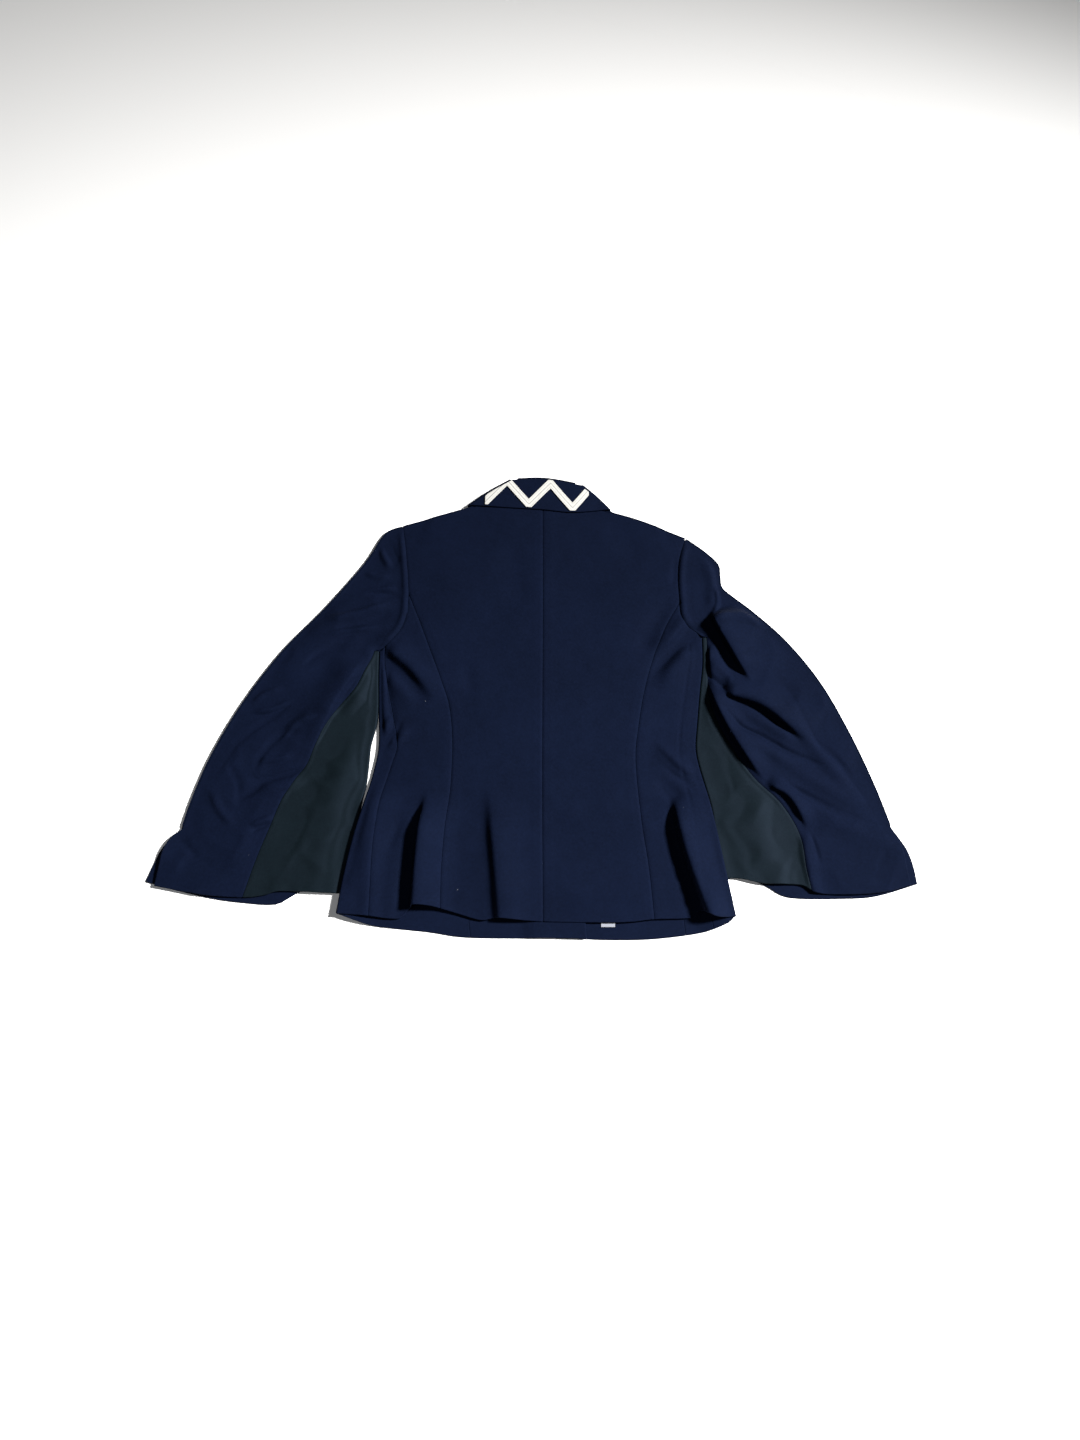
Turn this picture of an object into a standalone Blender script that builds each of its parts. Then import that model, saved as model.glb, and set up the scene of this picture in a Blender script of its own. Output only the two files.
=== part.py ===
"""A tailored jacket laid face down on a flat surface, its back uppermost and its collar away from -Y.

Every cut piece is a sheet of cloth of one thickness, made in three steps:
its edges are smooth curves through a few named points, its inside is blended from those edges,
and its height comes from the layers that it lies on, the swell of the garment and the main folds.
Pieces that turn round the outline of the garment carry a half round from the upper layer to the lower.

X runs across the jacket, Y from the hem to the collar and Z up from the surface. Sizes are in metres.
The tables hold millimetres, measured from the middle of the back hem line, and MM turns them into metres.
"""

import bpy
import bmesh
import numpy as np

MM = 0.001

# Driving dimensions
WALL = 0.0020                 # cloth with its backing
SEAM_GAP = 0.0010             # between two pieces that are sewn edge to edge
CLEARANCE = 0.0003            # between a piece and what it lies on
LAYER = WALL + CLEARANCE      # from the middle of one sheet to the next one lying on it
FLOOR_MID = WALL / 2          # the middle of a sheet that lies on the surface
TURN_RADIUS = 0.0016          # half round at the outline, seen from above
TURN_STEPS = 4                # facets of that half round
BODY_SWELL = 0.0050           # how much higher the middle of the body lies than its edges
SLEEVE_SWELL = 0.0034
SWELL_REACH = 0.020           # distance from the outline at which half the swell is reached
SWELL_FROM = 0.120            # half width of the back that has the full body swell
SWELL_TO = 0.190              # half width from which the sleeve swell holds
FOLD_FADE = 0.012             # distance from the outline over which the folds fade out
FOLD_WIDTH = 0.0085           # least width of one side of a fold that these coarse sheets can follow
HEM_PRESS = 0.45              # share of the swell that is left at a hem
HEM_REACH = 0.045
SKIRT_LIFT = 0.0068           # the skirt's sides lie on the inner edges of the sleeves
SKIRT_LIFT_WIDTH = 0.045      # full for the first quarter of this width, then falling to nothing
SKIRT_LIFT_HOLD = 0.25
SKIRT_LIFT_TOP = -0.085       # height of the lift's upper end along Y, and of its full height
SKIRT_LIFT_FULL = -0.125
NECK_LIFT = 0.0022            # the back's edges over the turned collar and the lapels
COVER_MARGIN = 0.026          # a sheet keeps its height this far past what it lies on,
COVER_RAMP = 0.018            # and comes down over this width
OVERLAP_LIFT = WALL + 0.0010  # the left front over the right one
COLLAR_LIFT = 0.0030          # the turned-down leaf above the back
COLLAR_TURN = 0.0030          # half round of the leaf at the neck sides, seen from above
COLLAR_FOLD = 0.0018          # half round along the top of the collar
TAPE_WALL = 0.0012
TAPE_WIDTH = 0.011
TAPE_MARGIN = 0.0016          # from the tape to the edges of the leaf
TAPE_STROKE = 0.031           # how far a stroke goes sideways,
TAPE_RISE = 0.036             # and up
TAPE_STEPS = 8                # columns of a stroke
TAPE_SPANS = 3                # across the tape
TAPE_ENDS = (-78, 69.4)       # x in millimetres where the tape starts and stops
TAPE_CLEARANCE = 0.0004       # between the tape and the leaf, whose facets are longer
BUTTON_RADIUS = 0.010
BUTTON_THICKNESS = 0.0024
BUTTON_FACE = 0.92            # radius of its lower face, as a share of the rim's
BUTTON_SIDES = 20
BUTTON_LIFT = 0.0029          # the front over a button
BUTTON_MARGIN = 0.022         # and how far it keeps that height past the button's rim
BUTTON_RAMP = 0.080           # width over which the front comes down again
LABEL_WALL = 0.0008
ORIGIN = (-11.5, 28.3)        # the point of the tables that the model stands on, in millimetres

# Colours
NAVY = (0.008, 0.012, 0.032, 1.0)
NAVY_DARK = (0.006, 0.009, 0.024, 1.0)
GREEN = (0.008, 0.015, 0.017, 1.0)
WHITE = (0.86, 0.86, 0.84, 1.0)
BUTTON_NAVY = (0.008, 0.010, 0.022, 1.0)

# Outlines and seams of each side. Columns: x, y. Each runs upwards, from the hem or the cuff.
LEFT = {
    "side": [(-263, -266), (-256, -218), (-245, -163), (-233, -118), (-222, -73), (-216.5, -38),
             (-218, 10), (-220, 60), (-220.3, 98)],
    "side_seam": [(-222, -268), (-221, -222), (-219, -169), (-212, -114), (-199, -66), (-192, -39),
                  (-196, -10), (-207, 45), (-213, 84), (-213, 105)],
    "princess": [(-128, -260), (-127, -205), (-123, -142), (-118.5, -85), (-118, -30), (-123, 17),
                 (-135, 56), (-151, 99), (-166, 140), (-183, 182.5)],
    "front_princess": [(-90, -297), (-100, -200), (-111, -105), (-112, -40), (-121, 25),
                       (-142, 95), (-167, 155)],
    "armhole_low": [(-213, 105), (-206, 112), (-193, 129), (-185, 152), (-183, 182.5)],
    "armhole_top": [(-183, 182.5), (-185, 211), (-189, 250.5), (-194, 287.5)],
    "front_armhole_low": [(-203, 102.5), (-188, 112), (-175, 131), (-167, 155)],
    "front_armhole_top": [(-167, 155), (-166, 192.5), (-173, 235.5), (-194, 287.5)],
    "shoulder": [(-194, 287.5), (-141, 303.5), (-92, 318.5)],
    "neck": [(-92, 318.5), (-50, 323.5), (4, 325.5)],
    "sleeve_outer": [(-474, -153), (-461, -105), (-440, -47), (-404, 24), (-355, 98), (-299, 162),
                     (-247, 229), (-225, 267.5), (-213, 280.5), (-195, 287)],
    "vent_under": [(-516, -223), (-508, -202), (-499, -180), (-487, -165), (-474, -153)],
    "vent_top": [(-503, -229), (-499, -205), (-495, -181), (-487, -165), (-474, -154)],
    "sleeve_inner": [(-245, -236), (-242, -168), (-238, -120), (-232, -90), (-229.5, -62), (-228, -38),
                     (-221.5, -8), (-221, 20), (-222.6, 60), (-222.9, 98)],
    "gusset_seam": [(-387, -243), (-371, -190), (-357, -151), (-344, -115), (-328, -86), (-312, -64),
                    (-303, -36), (-293, -10), (-273, 17), (-252, 42), (-239, 70), (-231, 88), (-227.5, 98.6)],
    "sleeve_underarm": [(-227.5, 98.6), (-220, 99.8), (-213, 105)],
    "front_edge": [(60, -297), (50, -140), (42, 20), (20, 72)],
    "roll": [(20, 72), (-8, 130), (-36, 203), (-56, 288.5)],
    "lapel_edge": [(15, 79), (-50, 99), (-100, 146), (-130, 198), (-138, 245.5)],
    "gorge": [(-56, 288.5), (-100, 267.5)],
    "collar_end": [(-126, 278.5), (-100, 267.5), (-56, 288.5)],
    "collar_roll": [(-43, 358.5), (-51, 325.5), (-56, 288.5)],
    "collar_edge": [(-103, 318.5), (-119, 301.5), (-126, 278.5)],
    "collar_side": [(-103, 318.5), (-74, 339.5), (-43, 358.5)],
}
RIGHT = {
    "side": [(252.5, -270), (241, -205), (231, -150), (220.5, -100), (212, -66), (208.5, -40),
             (212, -5), (217, 40), (222, 80), (222.6, 118)],
    "side_seam": [(224, -283), (207, -165), (190, -70), (187, -40), (194, 20), (204, 80), (205, 123)],
    "princess": [(148, -272), (142, -203), (134, -142), (128, -60), (133, -11), (142, 39),
                 (155, 86), (172, 130), (194, 169.5)],
    "front_princess": [(188, -292), (180, -200), (168, -105), (160, -40), (162, 25), (169, 95),
                       (178, 160)],
    "armhole_low": [(216, 126), (204, 135), (195.5, 148), (194, 169.5)],
    "armhole_top": [(194, 169.5), (193, 202), (196, 235.5), (205, 268.5)],
    "front_armhole_low": [(205, 123), (190, 138), (178, 160)],
    "front_armhole_top": [(178, 160), (176, 198), (183.5, 235.5), (205, 268.5)],
    "shoulder": [(205, 268.5), (141, 295.5), (88, 312)],
    "neck": [(88, 312), (48, 321.5), (4, 325.5)],
    "sleeve_outer": [(464, -150), (446, -93), (420, -25), (384, 50), (340, 112), (296, 156),
                     (268, 179.5), (254, 193.5), (252, 211), (249.5, 229), (231, 248.5), (206.5, 267.5)],
    "vent_under": [(493, -226), (490, -203), (484, -182), (475, -166), (464, -150)],
    "vent_top": [(484, -228), (480, -205), (477, -184), (472, -166), (464, -151)],
    "sleeve_inner": [(236, -219), (233, -190), (231, -154), (228.3, -125), (223.6, -100), (214.8, -66),
                     (211.2, -42), (214.6, -5), (219.6, 40), (224.5, 80), (225.1, 118)],
    "gusset_seam": [(354, -237), (348, -206), (342, -160), (320, -119), (284, -82), (253, -32),
                    (236, 8), (229.5, 45), (230, 80), (229.9, 118.6)],
    "sleeve_underarm": [(229.9, 118.6), (223, 120), (216, 126)],
    "front_edge": [(20, -297), (10, -140), (2, 20)],
    "roll": [(2, 20), (36, 110), (58, 198), (69, 280.5)],
    "lapel_edge": [(3, 26), (70, 75), (118, 132), (146, 192.5), (150, 237.5)],
    "gorge": [(69, 280.5), (112, 261.5)],
    "collar_end": [(138, 271.5), (112, 261.5), (69, 280.5)],
    "collar_roll": [(61, 349.5), (67, 317.5), (69, 280.5)],
    "collar_edge": [(100, 311.5), (128, 295.5), (138, 271.5)],
    "collar_side": [(100, 311.5), (82, 330.5), (61, 349.5)],
}

# Edges that run from side to side. Columns: x, y
HEM_BACK = [(-263, -266), (-226, -268.5), (-183, -272), (-168, -259), (-140, -257), (-109, -265),
            (-77, -274), (-55, -272), (4, -276), (103, -277), (148, -273), (196, -271), (211, -262),
            (232, -271), (252.5, -270)]
HEM_FRONT = [(-263, -266), (-220, -280), (-181, -285), (-142, -289), (-90, -296), (26, -297),
             (103, -299), (155, -297), (207, -290), (239, -280), (252.5, -270)]
CUFF_TOP = {
    "left": [(-503, -229), (-462, -237), (-428, -242), (-383, -244), (-358, -241), (-338, -236),
             (-286, -238), (-240, -240)],
    "right": [(230, -220), (258, -219), (293, -226), (340, -228), (356, -237), (377, -240),
              (416, -240), (449, -237), (484, -228)],
}
CUFF_UNDER = {
    "left": [(-516, -223), (-480, -233), (-428, -245), (-384, -251), (-345, -253), (-326, -244),
             (-312, -236), (-286, -234), (-240, -236)],
    "right": [(230, -217), (270, -219), (295, -229), (326, -244), (404, -245), (443, -241),
              (493, -226)],
}
LEAF_EDGE = [(-103, 318.5), (-51, 313.5), (4, 309.5), (49, 305.5), (100, 311.5)]
LEAF_FOLD = [(-43, 358.5), (7, 359.5), (61, 349.5)]
CENTRE_BACK = [(4, -276), (3, -88), (4, 140), (4, 325.5)]

BUTTONS = {"button_upper": (23, 8), "button_lower": (28, -84)}      # x, y of their centres
LABEL = (79, 97, -282.5, -266)                                     # x from and to, y from and to

# Main folds of the upper layer. Millimetres: a line through three points, the height of its crest, or
# its depth where it is negative, the widths to the left and to the right of the line as it runs, and
# the shares of its length over which it rises and falls, 0 where it runs out over a hem.
FOLD_COLUMNS = ("start_x", "start_y", "mid_x", "mid_y", "end_x", "end_y",
                "height", "left", "right", "rise", "fall")
FOLDS = [
    (-148, -98, -155, -186, -159, -263, 17.0, 26, 6.0, 0.35, 0.0),       # left skirt flare
    (-157, -108, -170, -186, -180, -263, -3.0, 6, 9, 0.30, 0.0),
    (-66, -88, -55, -185, -47, -276, 9.0, 28, 10, 0.40, 0.0),            # the flare beside it
    (178, -104, 197, -188, 223, -268, 18.0, 18, 6.0, 0.30, 0.0),         # right skirt flare
    (170, -108, 185, -188, 208, -268, -3.0, 6, 10, 0.30, 0.0),
    (-230, -70, -224, -160, -222, -268, 3.0, 14, 14, 0.35, 0.0),         # left skirt side
    (150, -32, 180, -60, 208, -84, 3.0, 8, 9, 0.35, 0.35),               # waist, right
    (152, -84, 174, -100, 190, -118, -1.5, 7, 7, 0.35, 0.35),
    (-212, 106, -172, 72, -132, 18, 6.5, 15, 8, 0.20, 0.45),             # from the left underarm
    (-222, 92, -182, 56, -150, 16, -3.0, 8, 8, 0.20, 0.45),
    (-212, 66, -190, 42, -166, 4, 2.5, 10, 10, 0.30, 0.45),
    (-217, 92, -214, 34, -207, -26, 4.0, 5, 4, 0.20, 0.25),              # strip beside the side seam
    (220, 134, 186, 99, 144, 50, -3.0, 8, 9, 0.20, 0.40),                # from the right underarm
    (212, 104, 184, 74, 160, 34, 4.5, 14, 12, 0.30, 0.45),
    (206, 156, 182, 122, 156, 96, 4.5, 7, 10, 0.30, 0.40),
    (184, 177, 150, 122, 145, 84, -1.6, 9, 13, 0.30, 0.45),              # beside the right blade
    (-43, 267.5, -34, 209.5, -22, 150, -1.0, 14, 18, 0.35, 0.45),            # beside the centre back
    (90, 305.5, 117, 270.5, 148, 203, -1.2, 16, 16, 0.35, 0.45),
    (-215, 209.5, -290, 140, -352, 56, 2.6, 18, 22, 0.35, 0.40),           # left sleeve
    (-202, 160, -262, 122, -332, 22, -1.2, 12, 12, 0.25, 0.40),
    (-192, 134, -226, 98, -272, 44, 3.0, 10, 14, 0.30, 0.45),
    (-240, 92, -280, 30, -316, -56, 9.0, 8, 20, 0.30, 0.30),             # above the left gusset
    (-304, -80, -342, -94, -388, -102, 3.0, 9, 12, 0.35, 0.40),
    (-240, 20, -262, -80, -300, -240, 4.0, 22, 22, 0.35, 0.0),           # left gusset
    (226.5, 245.5, 242, 201, 238, 152, 4.5, 8, 10, 0.35, 0.25),              # right sleeve head
    (230, 144, 284, 148, 326, 134, 8.0, 9, 10, 0.25, 0.35),
    (238, 154, 263, 112, 294, 60, 14.0, 28, 6, 0.22, 0.40),
    (238, 88, 252, 66, 264, 46, 5.0, 7, 7, 0.30, 0.30),
    (254, 48, 314, 24, 370, -32, 13.0, 22, 6, 0.25, 0.35),
    (264, 16, 310, -12, 366, -44, 3.5, 8, 9, 0.35, 0.40),
    (230, 58, 257, -10, 304, -92, 9.0, 15, 6, 0.25, 0.25),               # above the right gusset
    (262, -6, 306, -46, 352, -72, 5.0, 11, 10, 0.35, 0.40),
    (322, -64, 376, -94, 440, -132, 4.0, 11, 11, 0.35, 0.35),
    (334, 24, 374, -50, 446, -136, 4.0, 9, 11, 0.35, 0.35),
    (300, -88, 334, -108, 358, -156, 6.0, 12, 6, 0.25, 0.30),
    (352, -150, 350, -190, 358, -240, 4.5, 11, 9, 0.30, 0.0),
    (252, -30, 284, -124, 310, -228, 3.0, 20, 20, 0.35, 0.0),            # right gusset
]

CURVE_STEPS = 10              # points of a smooth line between two points of its table
HEAD_KNOT = 5                 # the point of the outer sleeve line that lies across from the underarm

# Spans along each shared line, so that the pieces on both sides of a seam have the same points
SPANS = {"princess": 15, "front_princess": 15, "side": 15, "side_seam": 15, "armhole_top": 5,
         "armhole_low": 9, "front_armhole_top": 5, "front_armhole_low": 8, "underarm": 2,
         "sleeve_underarm": 1,
         "shoulder": 8, "neck": 6, "front_edge": 9, "roll": 8, "gorge_side": 3,
         "vent": 4, "sleeve_low": 11, "sleeve_head": 15}
TOP_SLEEVE_SPANS = 11         # across the top sleeve, the gusset and the under sleeve
GUSSET_SPANS = 6
UNDER_SLEEVE_SPANS = 5
LEAF_ROWS = 5                 # spans of the collar leaf across its depth, along it and on its hidden ends
LEAF_COLUMNS = 20
LEAF_END_COLUMNS = 4
STAND_ROWS = 3
STAND_SHORT = 2               # spans of the neck left free at each end of the stand
SLEEVE_POINT = 0.3            # how far the sleeves' last row is drawn back from the shoulder's corner


def in_metres(points):
    """Table points, in millimetres, as metres about the model's origin."""
    return (np.asarray(points, float) - ORIGIN) * MM


def smooth(points):
    """Dense smooth line through table points: a cubic for each span, with the slope of its chord."""
    knots = in_metres(points)
    knots = np.vstack([2 * knots[:1] - knots[1:2], knots, 2 * knots[-1:] - knots[-2:-1]])
    t = np.linspace(0, 1, CURVE_STEPS, endpoint=False)[:, None]
    spans = []
    for before, start, end, after in zip(knots, knots[1:], knots[2:], knots[3:]):
        slope_in, slope_out = (end - before) / 2, (after - start) / 2
        spans.append(start + slope_in * t + (3 * (end - start) - 2 * slope_in - slope_out) * t ** 2
                     + (2 * (start - end) + slope_in + slope_out) * t ** 3)
    return np.vstack(spans + [knots[-2:-1]])


def even(line, count):
    """The line as count spans of equal length."""
    length = np.append(0, np.cumsum(np.linalg.norm(np.diff(line, axis=0), axis=1)))
    places = np.linspace(0, length[-1], count + 1)
    return np.stack([np.interp(places, length, line[:, axis]) for axis in (0, 1)], axis=1)


def chain(*lines):
    """Lines joined end to end, the shared points kept once."""
    return np.vstack([lines[0]] + [line[1:] for line in lines[1:]])


def across(line, start_x, end_x, count):
    """The part of a line that is a function of x, between two places, as count even steps of x."""
    x = np.linspace(start_x, end_x, count + 1)
    order = np.argsort(line[:, 0])
    return np.stack([x, np.interp(x, line[order, 0], line[order, 1])], axis=1)


def outward(line, turn):
    """Unit normals of a line, to its left where turn is 1 and to its right where it is -1."""
    tangent = np.gradient(line, axis=0)
    tangent /= np.linalg.norm(tangent, axis=1, keepdims=True)
    return turn * np.stack([-tangent[:, 1], tangent[:, 0]], axis=1)


def patch(bottom, top, left, right):
    """Plan of a piece blended from its four edges: rows run from bottom to top, columns left to right."""
    left, right = left.copy(), right.copy()
    left[0], left[-1], right[0], right[-1] = bottom[0], top[0], bottom[-1], top[-1]
    u = np.linspace(0, 1, len(bottom))[None, :, None]
    v = np.linspace(0, 1, len(left))[:, None, None]
    corners = ((1 - u) * (1 - v) * bottom[0] + u * (1 - v) * bottom[-1]
               + (1 - u) * v * top[0] + u * v * top[-1])
    return (1 - v) * bottom + v * top + (1 - u) * left[:, None] + u * right[:, None] - corners


def to_line(points, line):
    """Distance, signed offset (left is positive) and share of the way of points along a line."""
    start, step = line[:-1], np.diff(line, axis=0)
    gap = points[..., None, :] - start
    t = np.clip((gap * step).sum(-1) / (step * step).sum(-1), 0, 1)
    miss = gap - t[..., None] * step
    length = (miss ** 2).sum(-1)
    nearest = length.argmin(-1)
    pick = np.take_along_axis
    cross = step[:, 0] * miss[..., 1] - step[:, 1] * miss[..., 0]
    share = (nearest + pick(t, nearest[..., None], -1)[..., 0]) / len(step)
    distance = np.sqrt(pick(length, nearest[..., None], -1)[..., 0])
    return distance, distance * np.sign(pick(cross, nearest[..., None], -1)[..., 0]), share


def ease(value):
    """Smooth step from 0 to 1."""
    value = np.clip(value, 0, 1)
    return value * value * (3 - 2 * value)


SIDES = {"left": LEFT, "right": RIGHT}
TURN = {"left": 1, "right": -1}
LINES = {side: {name: smooth(points) for name, points in table.items()} for side, table in SIDES.items()}
for side in SIDES:
    LINES[side]["gorge"] = in_metres(SIDES[side]["gorge"])
    LINES[side]["collar_end"] = in_metres(SIDES[side]["collar_end"])
HEMS = {"back": smooth(HEM_BACK), "front": smooth(HEM_FRONT)}
CUFFS = {side: {"top": smooth(CUFF_TOP[side]), "under": smooth(CUFF_UNDER[side])} for side in SIDES}
OUTLINE = [LINES[side][name] for side in SIDES for name in ("side", "shoulder", "sleeve_outer")]
SLEEVE_OUTLINE = OUTLINE + [LINES[side]["sleeve_inner"] for side in SIDES]
HEM_LINES = [HEMS["back"], CUFFS["left"]["top"], CUFFS["right"]["top"]]


def nearest_of(points, lines):
    """Distance from points to the nearest of several lines."""
    return np.min([to_line(points, line)[0] for line in lines], axis=0)


def fold_height(points):
    """Sum of the main folds: each a bell across its line, with a width for each of its sides."""
    height = np.zeros(points.shape[:-1])
    for row in FOLDS:
        fold = dict(zip(FOLD_COLUMNS, row))
        line = smooth([(fold[f"{place}_x"], fold[f"{place}_y"]) for place in ("start", "mid", "end")])
        _, offset, share = to_line(points, line)
        strength = ease(share / fold["rise"])
        if fold["fall"]:
            strength = strength * ease((1 - share) / fold["fall"])
        left, right = np.maximum((fold["left"] * MM, fold["right"] * MM), FOLD_WIDTH)
        height += fold["height"] * MM * strength * np.exp(-(offset / np.where(offset > 0, left, right)) ** 2)
    return height


def skirt_lift(points):
    """Rise of the skirt's sides over the inner edges of the sleeves."""
    near = nearest_of(points, [LINES[side]["side"] for side in SIDES])
    top, full = SKIRT_LIFT_TOP - ORIGIN[1] * MM, SKIRT_LIFT_FULL - ORIGIN[1] * MM
    sideways = ease(1 + SKIRT_LIFT_HOLD - near / SKIRT_LIFT_WIDTH)
    return SKIRT_LIFT * sideways * ease((top - points[..., 1]) / (top - full))


def inside(points, ring):
    """1 within a closed ring of points and 0 outside it, by counting the edges crossed."""
    start, end = ring, np.roll(ring, -1, axis=0)
    x, y = points[..., None, 0], points[..., None, 1]
    rise = np.where(end[:, 1] == start[:, 1], 1e-12, end[:, 1] - start[:, 1])
    crossed = ((start[:, 1] > y) != (end[:, 1] > y)) & (
        x < (end[:, 0] - start[:, 0]) * (y - start[:, 1]) / rise + start[:, 0])
    return crossed.sum(-1) % 2


def cover(points, ring):
    """1 over a ring and softly down to 0 beside it."""
    gap, _, _ = to_line(points, np.vstack([ring, ring[:1]]))
    return np.where(inside(points, ring) == 1, 1.0, ease(1 - (gap - COVER_MARGIN) / COVER_RAMP))


def lapel_ring(side):
    """Outline of a lapel with the collar end above it, as one ring."""
    lines = LINES[side]
    return np.vstack([lines["lapel_edge"], lines["gorge"][::-1][:1], lines["collar_edge"][::-1],
                      lines["collar_side"][1:], lines["collar_roll"][1:], lines["roll"][::-1][1:]])


RINGS = {side: lapel_ring(side) for side in SIDES}


def upper_height(points, outline, body):
    """Middle of the upper layer: low at the outline, swelling inwards, pressed at the hems, folded."""
    depth = np.maximum(nearest_of(points, outline) - TURN_RADIUS, 0)
    rise = depth ** 2 / (depth ** 2 + SWELL_REACH ** 2)
    half = np.abs(points[..., 0] + ORIGIN[0] * MM)
    swell = BODY_SWELL + (SLEEVE_SWELL - BODY_SWELL) * ease((half - SWELL_FROM) / (SWELL_TO - SWELL_FROM))
    press = HEM_PRESS + (1 - HEM_PRESS) * ease(nearest_of(points, HEM_LINES) / HEM_REACH)
    folds = fold_height(points) * ease(depth / FOLD_FADE)
    lift = skirt_lift(points) if body else 0
    collar = np.max([cover(points, ring) for ring in RINGS.values()], axis=0) * (1 - rise)
    return FLOOR_MID + 2 * TURN_RADIUS + swell * rise * press + NECK_LIFT * collar + lift + folds


def body_upper(points):
    """Upper layer of the back."""
    return upper_height(points, OUTLINE, True)


def sleeve_upper(points):
    """Upper layer of the sleeves."""
    return upper_height(points, SLEEVE_OUTLINE, False)


OVERLAP = np.vstack([LINES["right"]["front_edge"], LINES["left"]["front_edge"][::-1]])


def front_height(points, side):
    """Middle of a front: on the surface, over its lapel and the buttons; the left over the right one."""
    right = FLOOR_MID + LAYER * cover(points, RINGS["right"])
    for place in BUTTONS.values():
        far = np.linalg.norm(points - in_metres(place), axis=-1) - BUTTON_RADIUS - BUTTON_MARGIN
        right = np.maximum(right, FLOOR_MID + BUTTON_LIFT * ease(1 - far / BUTTON_RAMP))
    right = right + skirt_lift(points)
    if side == "right":
        return right
    left = FLOOR_MID + LAYER * cover(points, RINGS["left"]) + skirt_lift(points)
    over = cover(points, OVERLAP)
    return np.maximum(left, left + (right + OVERLAP_LIFT - left) * over)


def floor_height(points):
    """Middle of a sheet on the surface, lifted at the skirt's sides."""
    return FLOOR_MID + skirt_lift(points)


def flat(points):
    """Middle of a sheet that lies on the surface all over."""
    return np.full(points.shape[:-1], FLOOR_MID)


def raised(plan, height):
    """Plan points with their height."""
    return np.concatenate([plan, height(plan)[..., None]], axis=-1)


def turned(line, normal, radius, start_z, end_z):
    """Half round outside a line, from one height to another: a column for each step between them."""
    angle = np.linspace(-np.pi / 2, np.pi / 2, TURN_STEPS + 1)[1:-1]
    plan = line[:, None] + radius * np.cos(angle)[None, :, None] * normal[:, None]
    z = (start_z + end_z)[:, None] / 2 + (end_z - start_z)[:, None] / 2 * np.sin(angle)
    return np.concatenate([plan, z[..., None]], axis=-1)


def trimmed(grid):
    """The sheet with half the seam gap taken off each edge."""
    grid = grid.copy()
    for view in (grid, np.swapaxes(grid, 0, 1)):
        for edge, inner in ((0, 1), (-1, -2)):
            step = view[inner] - view[edge]
            view[edge] += SEAM_GAP / 2 * step / np.linalg.norm(step, axis=-1, keepdims=True)
    return grid


def material(name, colour, roughness):
    """A plain surface."""
    made = bpy.data.materials.get(name) or bpy.data.materials.new(name)
    made.use_nodes = True
    shader = made.node_tree.nodes["Principled BSDF"]
    shader.inputs["Base Color"].default_value = colour
    shader.inputs["Roughness"].default_value = roughness
    return made


def cloth(name, grid, finish, wall=WALL):
    """A sheet of cloth through a grid of points, thickened to both sides."""
    rows, columns, _ = grid.shape
    index = np.arange(rows * columns).reshape(rows, columns)
    faces = np.stack([index[:-1, :-1], index[:-1, 1:], index[1:, 1:], index[1:, :-1]], axis=-1)
    mesh = bpy.data.meshes.new(name)
    mesh.from_pydata(trimmed(grid).reshape(-1, 3).tolist(), [], faces.reshape(-1, 4).tolist())
    mesh.materials.append(finish)
    mesh.shade_smooth()
    piece = bpy.data.objects.new(name, mesh)
    bpy.context.scene.collection.objects.link(piece)
    thicken = piece.modifiers.new("cloth", "SOLIDIFY")
    thicken.thickness = wall
    thicken.offset = 0
    return piece


def outline_rows(side, name, rows, flip=1):
    """An outline as rows: the line set in by the half round's radius, and its outward normals."""
    line = even(LINES[side][name], rows)
    normal = outward(line, TURN[side] * flip)
    return line - TURN_RADIUS * normal, normal


def along(side, name):
    """A shared line as its even spans."""
    return even(LINES[side][name], SPANS[name])


def make_backs(finish):
    """The two halves of the back, from the centre seam to the curved seam and the armhole."""
    for side in SIDES:
        edge = chain(along(side, "princess"), along(side, "armhole_top"))
        shoulder, _ = outline_rows(side, "shoulder", SPANS["shoulder"])
        top = chain(shoulder, along(side, "neck"))
        centre = even(smooth(CENTRE_BACK), len(edge) - 1)
        bottom = across(HEMS["back"], edge[0, 0], centre[0, 0], len(top) - 1)
        cloth(f"back_{side}", raised(patch(bottom, top, edge, centre), body_upper), finish)


def underarm(corner, end):
    """The short stretch of the front armhole from the underarm to the first shared point."""
    return even(np.array([corner, end]), SPANS["underarm"])


def make_side_backs(finish):
    """The side backs. The right one turns round the side to a seam underneath."""
    seam, princess = along("left", "side_seam"), along("left", "princess")
    armhole = along("left", "armhole_low")
    bottom = across(HEMS["back"], seam[0, 0], princess[0, 0], len(armhole) - 1)
    cloth("side_back_left", raised(patch(bottom, armhole, seam, princess), body_upper), finish)

    side, normal = outline_rows("right", "side", SPANS["side"])
    princess, seam = along("right", "princess"), along("right", "side_seam")
    armhole = np.vstack([along("right", "armhole_low")[::-1], side[-1:]])
    bottom = across(HEMS["back"], princess[0, 0], side[0, 0], len(armhole) - 1)
    upper = raised(patch(bottom, armhole, princess, side), body_upper)
    top = underarm(side[-1], LINES["right"]["front_armhole_low"][0])
    bottom = across(HEMS["front"], side[0, 0], seam[0, 0], len(top) - 1)
    under = raised(patch(bottom, top, side, seam), floor_height)
    upper[:, -1, :2] = under[:, 0, :2] = side
    turn = turned(side, normal, TURN_RADIUS, upper[:, -1, 2], under[:, 0, 2])
    cloth("side_back_right", np.concatenate([upper, turn, under], axis=1), finish)


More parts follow.
